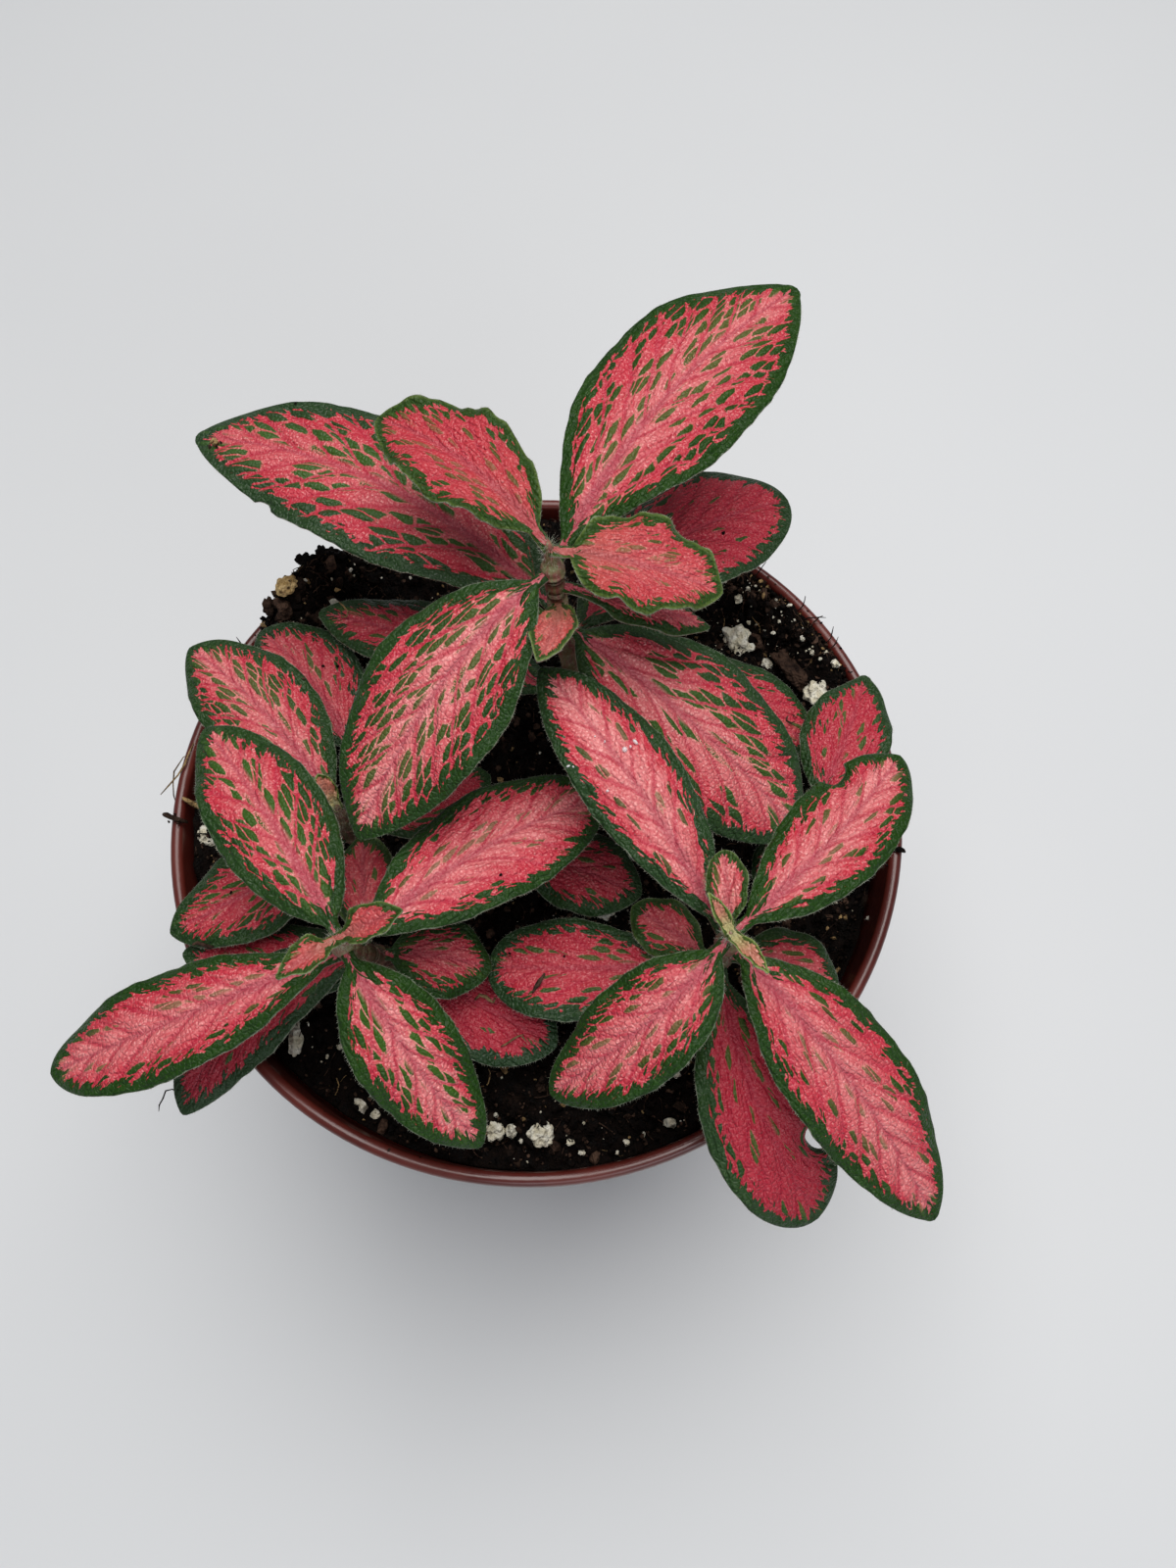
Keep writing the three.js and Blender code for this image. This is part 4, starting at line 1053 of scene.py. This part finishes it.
def scatter(rng, count, reach):
    """Even random places within a radius."""
    return round_at(reach * np.sqrt(rng.uniform(0, 1, count)), rng.uniform(0, TURN, count))


def gather(rng, x, y, start, count, centre, spread):
    """Moves some of the places into a cloud round a centre."""
    for values, middle, width in zip((x, y), centre, spread):
        values[start:start + count] = middle + width * rng.standard_normal(count)


def pulled_in(x, y, reach):
    """The places, with those past a radius brought back onto it."""
    pull = np.minimum(1, reach / np.hypot(x, y))
    return x * pull, y * pull


def uneven_sizes(rng, count, usual, least, most):
    return np.clip(usual * np.exp(0.45 * rng.standard_normal(count)), least, most)


def make_crumbs(rng):
    x, y = scatter(rng, CRUMBS, RIM)
    # more and coarser crumbs on the heap at the left rear
    gather(rng, x, y, 0, int(0.22 * CRUMBS), HEAP, (9, 7))
    inside = np.hypot(x, y) < 49.4
    x, y = x[inside], y[inside]
    count = len(x)
    size = uneven_sizes(rng, count, 0.34, 0.16, 0.85)
    stretch = rng.uniform(0.6, 1.5, (count, 3))
    wall = np.maximum(0, np.hypot(x, y) + 1.5 * size - 49.9)
    x, y = x * (1 - wall / 50), y * (1 - wall / 50)
    clump = np.maximum(0, ripple(x, y, 2.6, 12)) * np.where(soil_height(x, y) > 88, 5.0, 1.0)
    z = rough_soil(x, y) + rng.uniform(0, 1, count) * (0.8 * size + clump)
    # the heap's outer foot, spilling over the lip
    spill = slice(0, SPILLED)
    turn, rise = rng.uniform(1.95, 2.85, SPILLED), rng.uniform(0, 1, SPILLED)
    top = rough_soil(*round_at(49.3, turn))
    reach = 49.6 + (1 - rise) * np.clip((top - 91) * 0.5, 0, 2.1)
    x[spill], y[spill] = round_at(reach, turn)
    on_lip = np.maximum(91 + rise * (top - 91), np.where(reach > 50.3, 92.2, 0))
    z[spill] = np.where(top > 91, on_lip, z[spill])
    # the bank at the right rear, heaped against the lip
    bank = slice(SPILLED, SPILLED + BANKED)
    turn, rise = rng.uniform(0.22, 0.88, BANKED), rng.uniform(0, 1, BANKED)
    x[bank], y[bank] = round_at(RIM + 1.45 * rise, turn)
    z[bank] = np.minimum(rough_soil(*round_at(RIM, turn)), 91.2) + 0.5 * rise
    size[bank] = np.minimum(size[bank], 0.3)
    # most are dark, with a few tan ones, above all on the heap
    tone = rng.uniform(0, 1, count) ** 1.7 * 0.86
    tan_share = np.where(np.hypot(x - 37, y - 30) < 12, 0.07, 0.02)
    tan_share = np.where(np.hypot(x + 38.5, y - 27) < 6.5, 0.16, tan_share)
    tone[rng.uniform(0, 1, count) < tan_share] = 0.93
    lumps("soil_crumbs", np.stack([x, y, z], 1), size, stretch, 22, SOIL, tone)


def make_clods(rng):
    """Knobbly clods, most of them on the heap."""
    x, y = scatter(rng, CLODS, 47.5)
    gather(rng, x, y, 0, HEAP_CLODS, (-37, 34), (7.5, 6))
    gather(rng, x, y, HEAP_CLODS, REAR_CLODS, (36, 31), (5, 5))
    x, y = pulled_in(x, y, 47.8)
    size = rng.uniform(0.5, 1.5, CLODS) * np.where(np.arange(CLODS) < HEAP_CLODS, 1.0, 0.6)
    z = rough_soil(x, y) + rng.uniform(0, 0.7, CLODS) * size
    # those on the heap's outer brow lean out over the lip
    brow = slice(0, BROW_CLODS)
    turn, reach = rng.uniform(1.98, 2.78, BROW_CLODS), rng.uniform(48.6, 50.9, BROW_CLODS)
    top = rough_soil(*round_at(RIM, turn))
    high = top > 93.5
    size[brow] = rng.uniform(0.5, 1.25, BROW_CLODS)
    z[brow] = np.where(high, np.maximum(top + rng.uniform(-2.2, 0.9, BROW_CLODS), 92.4 + size[brow]), 88)
    x[brow], y[brow] = round_at(reach * np.where(high, 1, 0.9), turn)
    stretch = rng.uniform(0.75, 1.2, (CLODS, 3))
    tone = rng.uniform(0, 1, CLODS) ** 1.6 * 0.84
    lumps("soil_clods", np.stack([x, y, z], 1), size, stretch, 24, SOIL, tone,
          level=3, rough=0.06, knobs=9)


def make_grit(rng):
    """Grit between and on top of the crumbs."""
    x, y = scatter(rng, GRIT, RIM)
    size = rng.uniform(0.12, 0.26, GRIT)
    z = rough_soil(x, y) + 0.2 + rng.uniform(0, 1, GRIT) ** 2 * 0.7
    stretch = rng.uniform(0.6, 1.5, (GRIT, 3))
    tone = rng.uniform(0, 1, GRIT) ** 1.2 * 0.86
    tone[rng.uniform(0, 1, GRIT) > 0.975] = 0.92
    lumps("soil_grit", np.stack([x, y, z], 1), size, stretch, 23, SOIL, tone)


def strands(name, paths, radii, material, tone, sides=4):
    """A piece of closed thin rods, each along its own row of points."""
    count, rings = radii.shape
    bm = bmesh.new()
    corners = bmesh.ops.create_circle(bm, cap_ends=True, segments=sides, radius=1)["verts"]
    cap = corners[0].link_faces[0]
    for ring in range(1, rings):
        cap = extruded(bm, [cap], keep=ring == 1)[1][0]
        for corner in cap.verts:
            corner.co.z = ring
    unit = mesh_of(name, bm, outward=True)
    size = len(unit.vertices)
    mesh = copies(unit, count)
    shape = points_of(mesh).reshape(count, size, 3)
    ring = np.rint(shape[0, :, 2]).astype(int)
    ways = unit_rows(np.gradient(paths, axis=1))
    side, third = (way.reshape(paths.shape)[:, ring] for way in frames_along(ways.reshape(-1, 3)))
    points = paths[:, ring] + radii[:, ring, None] * (shape[..., :1] * side + shape[..., 1:2] * third)
    set_points(mesh, points.reshape(-1, 3) * MM)
    point_attribute(mesh, "tone", np.repeat(tone, size))
    piece(name, mesh, material)


def make_fibres():
    """Short bent root and peat fibres lying on and standing out of the soil."""
    rng = np.random.default_rng(31)
    x, y = scatter(rng, FIBRES, 49)
    gather(rng, x, y, 0, 260, HEAP, (8, 6))
    gather(rng, x, y, 260, 200, (36, 30), (5, 5))
    rings = 6
    length = rng.uniform(1.0, 4.5, FIBRES)
    heading, bend = rng.uniform(0, TURN, FIBRES), rng.uniform(-0.5, 0.5, (FIBRES, 1))
    turn = heading[:, None] + bend * np.cumsum(rng.uniform(0, 1.4, (FIBRES, rings)), axis=1)
    steps = round_at(length[:, None] / rings, turn)
    x, y = (start[:, None] + np.cumsum(step, axis=1) for start, step in zip((x, y), steps))
    x, y = pulled_in(x, y, 49.3)
    share = np.linspace(0, 1, rings)
    stand = rng.uniform(0, 1, FIBRES) ** 3 * 1.6
    z = rough_soil(x, y) + 0.25 + stand[:, None] * share
    radii = rng.uniform(0.045, 0.13, (FIBRES, 1)) * (1 - 0.5 * share)
    tone = np.where(rng.uniform(0, 1, FIBRES) > 0.97, 0.92, rng.uniform(0.3, 0.86, FIBRES))
    strands("soil_fibres", np.stack([x, y, z], axis=2), radii, SOIL, tone)


# clear grains of perlite: x, y, radius
SPECKS = [
    (-23.6, -41.4, 0.9), (-21.8, -42.4, 0.6), (-5.4, -42.3, 0.45), (-3.1, -44.6, 0.85), (-5.5, -44.2, 0.4),
    (5.1, -46.2, 0.5), (6.6, -47.4, 0.4), (12.7, -46.1, 0.4), (15.1, -45, 0.3), (18.8, -43.5, 0.8),
    (14.1, -39.1, 1.0), (19.8, -37, 0.55), (-1.7, -45.9, 0.3), (31.1, 34.8, 0.8), (32.5, 35.7, 0.35),
    (38.2, 30.8, 0.3), (36.1, 28.4, 0.32), (36.9, 29.6, 0.28), (35.5, 31.2, 0.2), (40.1, 26.1, 0.42),
    (41.8, 25.4, 0.28), (41.5, 24, 0.5), (35.3, 25.1, 0.75), (43.2, 23.1, 0.32), (42.4, 22.3, 0.3),
    (44.6, 21.5, 0.5), (-34.6, 33.2, 0.22), (-31.2, 34.7, 0.25), (-30.9, 31.4, 0.5),
    (-30.2, 30.9, 0.4), (-28.5, 36.5, 0.3), (-28.6, -35, 0.3), (-31.3, -30.7, 0.3), (48.3, -15.1, 0.5),
]


def make_specks():
    """The grains in the list, and many small ones of the same white kind."""
    rng = np.random.default_rng(61)
    rear = 70
    x, y = scatter(rng, SMALL_SPECKS, 49)
    gather(rng, x, y, 0, rear, (34, 31), (4.5, 4.5))
    x, y = pulled_in(x, y, 49)
    size = uneven_sizes(rng, SMALL_SPECKS, 0.14, 0.07, 0.4)
    size[:rear] *= 0.75
    x, y, size = (np.concatenate(pair) for pair in zip(np.transpose(SPECKS), (x, y, size)))
    z = rough_soil(x, y) + 0.55 * size + 0.25 + np.where(soil_height(x, y) > 88, 0.7, 0)
    stretch = rng.uniform(0.65, 1.35, (len(x), 3))
    lumps("perlite_specks", np.stack([x, y, z], 1), size, stretch, 62, PERLITE, level=2,
          rough=0.17)


make_soil()
loose_soil = np.random.default_rng(21)
make_crumbs(loose_soil)
make_clods(loose_soil)
make_grit(loose_soil)
make_fibres()
make_specks()


# ------------------------------------------------------------------ grains
# x, y, radius, stretch, turn in degrees, and how much higher than the plain soil it lies
GRAINS = {
    "perlite_1": (31, 28.4, 2.5, (0.9, 1.15, 0.75), 20, 0.5),
    "perlite_2": (43, 19.4, 2.6, (0.9, 1.25, 0.75), -20, 1.1),
    "perlite_3": (-47.6, -3.9, 1.75, (1, 1.1, 0.8), 0, 2.0),
    "perlite_4": (9.2, -14, 1.9, (1.25, 0.9, 0.8), -30, 0.2),
    "perlite_5": (1.2, -45.2, 1.8, (1, 1.1, 0.8), 40, 0.2),
    "perlite_6": (-5.3, -44.6, 1.5, (1, 1, 0.8), 10, 0.2),
    "perlite_7": (-33, -32.5, 1.5, (0.8, 1.7, 0.7), 0, 0.2),
    "bark_chip": (39.0, 22.8, 2.2, (2.0, 0.8, 0.6), -55, 1.5),
    "bark_crumb": (-37.0, 31.3, 1.7, (1.1, 0.9, 0.9), 30, 1.0),
}
BARK_TONES = {"bark_chip": 0.64, "bark_crumb": 1.0}


def make_grain(name, x, y, radius, stretch, turn, lift, seed):
    bm = bmesh.new()
    bmesh.ops.create_icosphere(bm, subdivisions=5, radius=1)
    mesh = mesh_of(name + "_piece", bm)
    unit = points_of(mesh)
    rng = np.random.default_rng(seed)
    lobes = unit_rows(rng.standard_normal((26, 3)))
    tallest = 0.46 if name == "bark_crumb" else 0.36
    tight, tall = rng.uniform(6, 20, len(lobes)), rng.uniform(0.14, tallest, len(lobes))
    core = 0.78
    lump = core + (tall * np.exp(-tight * (1 - unit @ lobes.T))).max(axis=1)
    for strength, pace in ((0.05, 7), (0.03, 14), (0.018, 27)):
        for _ in range(4):
            way = unit_rows(rng.standard_normal(3))
            lump += strength * np.sin(pace * unit @ way + rng.uniform(0, 6.3)) / 1.6
    shape = unit * (lump * radius * 0.97)[:, None] * np.array(stretch)
    a = math.radians(turn)
    spin = np.array([[math.cos(a), math.sin(a), 0], [-math.sin(a), math.cos(a), 0], [0, 0, 1]])
    centre = np.array([x, y, float(soil_height(x, y)) + lift + 0.2 * radius * stretch[2]])
    set_points(mesh, (shape @ spin + centre) * MM)
    tone = BARK_TONES.get(name)
    if tone is None:
        piece(name + "_piece", mesh, PERLITE, [name])
    else:
        point_attribute(mesh, "tone", np.full(len(unit), tone))
        piece(name + "_piece", mesh, SOIL, [name])


for number, (name, build) in enumerate(GRAINS.items()):
    make_grain(name, *build, 40 + number)


# ------------------------------------------------------------------ stems
STEM_FOOT, STEM_HEAD = 1.6, 0.95    # radii
JOINT_SWELL, JOINT_HALF = 0.28, 1.3


def tube(points, radii, sides):
    """A closed round stalk along the points: a capped ring, drawn out ring by ring."""
    ways = unit_rows(np.gradient(points, axis=0))
    angles = TURN * np.arange(sides) / sides
    side = np.array([1.0, 0, 0]) if abs(ways[0][0]) < 0.9 else np.array([0, 1.0, 0])
    bm = bmesh.new()
    first = bmesh.ops.create_circle(bm, cap_ends=True, segments=sides, radius=1)["verts"]
    cap = first[0].link_faces[0]
    for i, (point, way, radius) in enumerate(zip(points, ways, radii)):
        side = unit_rows(side - way * (side @ way))
        third = np.cross(way, side)
        if i:
            cap = extruded(bm, [cap], keep=i == 1)[1][0]
        for corner, a in zip(cap.verts, angles):
            corner.co = Vector((point + radius * (math.cos(a) * side + math.sin(a) * third)) * MM)
    return bm


def make_stem(name, path):
    low, high = path[0][2] + 2, path[-1][2]
    heights = np.linspace(low, high, 60)
    points = np.array([stem_point(path, h) for h in heights])
    radii = STEM_FOOT + (STEM_HEAD - STEM_FOOT) * (heights - low) / (high - low)
    for entry in LEAVES[name]:
        if entry["at"] < high - 3:
            radii += JOINT_SWELL * np.exp(-(((heights - entry["at"]) / JOINT_HALF) ** 2))
    radii *= (1 + 0.01 * np.sin(heights * 0.9)) * (1 - 0.5 * smoothstep(heights, high - 4, high))
    radii[-1] *= 0.45
    mesh = mesh_of(name + "_stalk", tube(points, np.minimum(radii, 1.9), 20), outward=True)
    piece(name + "_stalk", mesh, STEM, [name])


# ------------------------------------------------------------------ hairs
HAIR_RADIUS = 0.014
FRINGE, YOUNG_FRINGE = 5, 3     # hairs to a millimetre of margin, and how many more on a young leaf
STEM_FUZZ, TIP_FUZZ = 26, 170   # hairs to a millimetre of stem, and at its growing tip


def spikes(name, roots, ways, lengths):
    """A piece of fine tapering hairs, one at each root."""
    bm = bmesh.new()
    bmesh.ops.create_cone(bm, cap_ends=True, segments=3, radius1=1, radius2=0, depth=1)
    for vert in bm.verts:
        vert.co.z += 0.5
    unit = mesh_of(name, bm)
    count = len(roots)
    mesh = copies(unit, count)
    shape = points_of(mesh).reshape(count, len(unit.vertices), 3)
    side, third = frames_along(ways)
    placed = HAIR_RADIUS * (shape[..., 0:1] * side[:, None] + shape[..., 1:2] * third[:, None])
    placed = placed + shape[..., 2:3] * (lengths[:, None] * ways)[:, None] + roots[:, None]
    set_points(mesh, placed.reshape(-1, 3) * MM)
    piece(name, mesh, HAIR, smooth=False)


def margin_hairs(blade, rng):
    """Roots, ways and lengths of the fringe along both margins of a leaf."""
    young = blade.e["look"][4]
    count = 2 * int(blade.length * (FRINGE + YOUNG_FRINGE * young))
    t = rng.uniform(0.04, 1.0, count)
    v = np.where(np.arange(count) % 2, 1.0, -1.0)
    low = np.zeros(count)
    root, inner = blade.surface(t, v * 0.995, low), blade.surface(t, v * 0.9, low)
    at = blade.section(t)
    out = unit_rows(root - inner + 1e-6 * at.across * v[:, None])
    toward_tip = np.clip((t - 0.85) / 0.15, 0, 1)[:, None]
    way = out * (1 - 0.6 * toward_tip) + at.along * (0.35 + 0.8 * toward_tip)
    way = way + 0.22 * rng.standard_normal(way.shape) + at.up * 0.15
    length = rng.uniform(0.16, 0.42, count) * (1 + 0.5 * young)
    return root + at.up * 0.15, unit_rows(way), length


def stem_hairs(path, rng):
    """Roots, ways and lengths of a stem's hairs, which are longest and closest at its growing tip."""
    low, high = 84, path[-1][2]
    count = int((high - low) * STEM_FUZZ)
    heights = low + (high - low) * rng.uniform(0, 1, count) ** 0.75
    middle = np.array([stem_point(path, h) for h in heights])
    out = np.stack([*round_at(1, rng.uniform(0, TURN, count)), np.zeros(count)], 1)
    way = unit_rows(out + 0.3 * rng.standard_normal((count, 3)) + [0, 0, 0.15])
    length = rng.uniform(0.5, 1.15, count)
    top = np.array([stem_point(path, h) for h in high - rng.uniform(0, 2.5, TIP_FUZZ)])
    rise = unit_rows(rng.standard_normal((TIP_FUZZ, 3)) + [0, 0, 0.7])
    root = np.concatenate([middle + out * 0.9, top + 0.45 * rise])
    return root, np.concatenate([way, rise]), np.concatenate([length, rng.uniform(0.6, 1.3, TIP_FUZZ)])


seed = 0
for node, entries in LEAVES.items():
    path = STEMS[node]
    make_stem(node, path)
    rng = np.random.default_rng(500 + seed)
    hairs = [stem_hairs(path, rng)]
    for number, entry in enumerate(entries, 1):
        seed += 1
        blade = Blade(entry, path, seed)
        make_leaf(f"{node}_leaf_{number}", blade, node)
        hairs.append(margin_hairs(blade, rng))
    roots, ways, lengths = (np.concatenate(parts) for parts in zip(*hairs))
    ends = (roots + ways * lengths[:, None]) * MM
    keep = np.all((ends > BOX_LOW) & (ends < BOX_HIGH), axis=1)
    spikes(node + "_hairs", roots[keep], ways[keep], lengths[keep])


# ------------------------------------------------------------------ small debris and water
# threads, twigs and shreds of bark: radius, tone, then the points they pass through
BITS = [
    (0.15, 0.93, [(-50.6, 9.7, 91.9), (-50.9, 8, 92.5), (-51.3, 6, 92.6),
        (-52.2, 4.5, 92.1), (-53.8, 3.3, 91.1), (-55.2, 2.3, 90)]),
    (0.10, 0.9, [(-50.2, 8.5, 91.5), (-51.6, 7.2, 92.5), (-52.9, 5.2, 91.9),
        (-53.4, 3.9, 90.6), (-53.6, 2.6, 89), (-53.6, 1.6, 87.6)]),
    (0.45, 0.93, [(-51.0, 0.7, 92.6), (-50.3, 0.4, 92.2), (-49.5, 0.1, 91.6),
        (-48.8, -0.1, 91.1), (-48.0, -0.4, 90.8), (-47.3, -0.5, 90.5)]),
    (0.40, 0.6, [(-53.3, -1.7, 92.4), (-52.8, -2.0, 92.8), (-52.1, -2.3, 92.8),
        (-51.4, -2.5, 92.7), (-50.6, -2.7, 92.5), (-49.9, -2.8, 92.0)]),
    (0.40, 0.3, [(49.2, -7.2, 88.6), (50.0, -7.4, 90.6), (50.7, -7.6, 92.1),
        (51.3, -7.8, 92.6), (51.8, -8.0, 92.6), (52.05, -8.1, 92.4)]),
    (0.28, 0.7, [(0.5, -28.7, 96.8), (0.8, -28.2, 97.0), (1.1, -27.7, 97.0),
        (1.4, -27.2, 97.0), (1.8, -26.7, 97.1), (2.1, -26.2, 97.1)]),
    (0.15, 0.9, [(-1.1, -32.9, 90.0), (-1.8, -33.2, 90.2), (-2.4, -33.6, 90.4),
        (-3.0, -34.0, 90.4), (-3.6, -34.3, 90.4), (-4.1, -34.6, 90.4)]),
    (0.26, 0.9, [(-7.6, -28.6, 92.0), (-6.9, -28.0, 92.2), (-6.2, -28.2, 92.1),
        (-5.6, -28.7, 92.0), (-5.1, -28.9, 91.9), (-4.8, -28.3, 91.9)]),
    (0.30, 0.75, [(-44.8, -22.3, 97.5), (-44.2, -22.1, 97.6), (-43.6, -22.2, 97.6),
        (-43.0, -22.5, 97.7), (-42.4, -22.7, 97.7), (-41.9, -22.6, 97.8)]),
    (0.13, 0.93, [(-28.4, 27.7, 101.4), (-27.7, 26.8, 102), (-27.0, 26, 101.8),
        (-27.1, 25.2, 101.6), (-27.8, 25.1, 101.6), (-28.1, 25.9, 101.6)]),
    (0.12, 0.8, [(37.8, 11.4, 95.4), (37.2, 12.0, 95.2), (36.5, 11.8, 95.3),
        (36.3, 11.0, 95.5), (36.9, 10.5, 95.7), (37.5, 10.8, 95.6)]),
    (0.10, 0.5, [(-46.4, -40.8, 90.2), (-48.0, -39.9, 89.4), (-49.3, -39.9, 88),
        (-50.2, -40.7, 86.6), (-50.9, -41.5, 85.4), (-51.3, -42.2, 84.4)]),
    (0.28, 0.93, [(-43.6, 42.5, 119.0), (-43.2, 42.9, 119.2), (-42.8, 42.7, 119.4),
        (-42.6, 42.3, 119.4), (-42.9, 42.0, 119.3), (-43.2, 42.1, 119.2)]),
    (0.35, 0.8, [(32.6, 28.6, 87.9), (33.2, 28.9, 88.6), (34.0, 28.4, 88.8),
        (34.2, 27.5, 88.6), (33.6, 26.8, 88.1), (32.9, 27.0, 87.6)]),
    (0.28, 0.9, [(37.2, 26.6, 87.6), (37.7, 27.1, 88.2), (38.4, 26.9, 88.4),
        (39.0, 26.3, 88.2), (39.3, 25.6, 87.9), (39.2, 24.9, 87.6)]),
]
BIT_TAPER = (0.55, 0.9, 1.0, 1.0, 0.85, 0.45)
# where thin fibres stick out over the lip, and the radii and heights that each passes through
LIP_FIBRES = [(40.7, 32.1), (42.2, 31.0), (43.3, 29.7), (45.1, 26.6), (45.8, 25.5), (51.0, 10.4),
              (34.5, 38.6), (-26, 44.6), (-30.4, 41.9), (-41.5, 31.2), (-45.3, 25.4), (-47.8, 20.3)]
LIP_ROUTE = ((48.8, 89.6), (49.9, 91.4), (51, 92.3), (51.8, 92.5), (52.5, 92.8), (53.2, 93.0))
# dark specks lying on the leaves and the lip
SPOTS = [(-30.6, 18.7, 98.9), (-28.6, 18.8, 98.6), (-31.7, 13.8, 104.3), (-2.7, -23.3, 96.1),
         (4.6, -23.9, 97.0), (-40.1, -15.5, 98.9), (-2.8, -17, 110.6), (26.8, 32.2, 111.4),
         (-32.1, 48, 120.3), (-51.6, -1.8, 92.7), (-51.0, -3.2, 92.6), (-52.4, -2.9, 92.5),
         (-42.6, 41.8, 119.1), (-43.1, 43, 119), (-42.1, 42.4, 119.1), (-43.6, 41.9, 119)]
# water drops on a leaf: x, y, z, radius
DROPS = [(13.9, -3.2, 119.65, 0.34), (13.3, -3.8, 119.65, 0.16), (12.6, -4.2, 119.65, 0.28),
         (5.8, -6.3, 119.6, 0.2), (6.4, -6.4, 119.6, 0.14), (10.5, -9.4, 119.25, 0.2),
         (10.2, -3.1, 119.6, 0.15), (9, -2.5, 119.85, 0.12)]


def lip_fibre(rng, x, y):
    """The points of one fibre that leans, bends and hooks over the lip."""
    way = np.array([x, y]) / math.hypot(x, y)
    lean, reach_share, hook = rng.uniform(-0.6, 0.4), rng.uniform(0.45, 0.85), rng.uniform(-0.3, 0.3)
    rows = []
    for reach, z in LIP_ROUTE:
        over = max(0, reach - 50.5)
        reach -= over * (1 - reach_share)
        slide = (reach - 50) * lean + over ** 2 * hook
        rows.append((way[0] * reach - way[1] * slide, way[1] * reach + way[0] * slide, z + 0.1 * over ** 2))
    return rows


def make_bits(rng):
    bits = list(BITS)
    for x, y in LIP_FIBRES:
        points = lip_fibre(rng, x, y)
        bits.append((rng.uniform(0.08, 0.12), rng.uniform(0.3, 0.7), points))
    radii, tones, paths = (np.array(column, float) for column in zip(*bits))
    radii = radii[:, None] * BIT_TAPER * rng.uniform(0.8, 1.2, (len(bits), len(BIT_TAPER)))
    paths = paths + rng.uniform(-0.06, 0.06, paths.shape)
    paths = np.clip(paths, BOX_LOW / MM + 0.4, BOX_HIGH / MM - 0.4)
    strands("loose_bits", paths, radii, SOIL, tones, sides=8)


def make_loose_crumbs(rng):
    """Specks on the leaves and crumbs along the lip."""
    stretches_of_lip = ((0.35, 1.2, 30), (2.0, 3.0, 25), (0, 6.28, 15))
    turn = np.concatenate([rng.uniform(*part) for part in stretches_of_lip])
    reach, size = rng.uniform(50.2, 52.1, len(turn)), rng.uniform(0.1, 0.26, len(turn))
    z = POT_HEIGHT - 0.9 * ((reach - 51.6) / 0.9) ** 2 + 0.3 * size
    places = np.concatenate([SPOTS, np.stack([*round_at(reach, turn), z], 1)])
    size = np.concatenate([np.full(len(SPOTS), 0.22), size])
    stretch = rng.uniform(0.6, 1.4, (len(size), 3))
    tone = rng.uniform(0.1, 0.75, len(size))
    lumps("loose_crumbs", places, size, stretch, 72, SOIL, tone)


def make_drops():
    drops = np.array(DROPS)
    stretch = np.random.default_rng(80).uniform(0.6, 1.4, (len(drops), 3))
    lumps("water_drops", drops[:, :3], drops[:, 3], stretch, 81, WATER, level=4, rough=0.0,
          smooth=True)


debris = np.random.default_rng(71)
make_bits(debris)
make_loose_crumbs(debris)
make_drops()
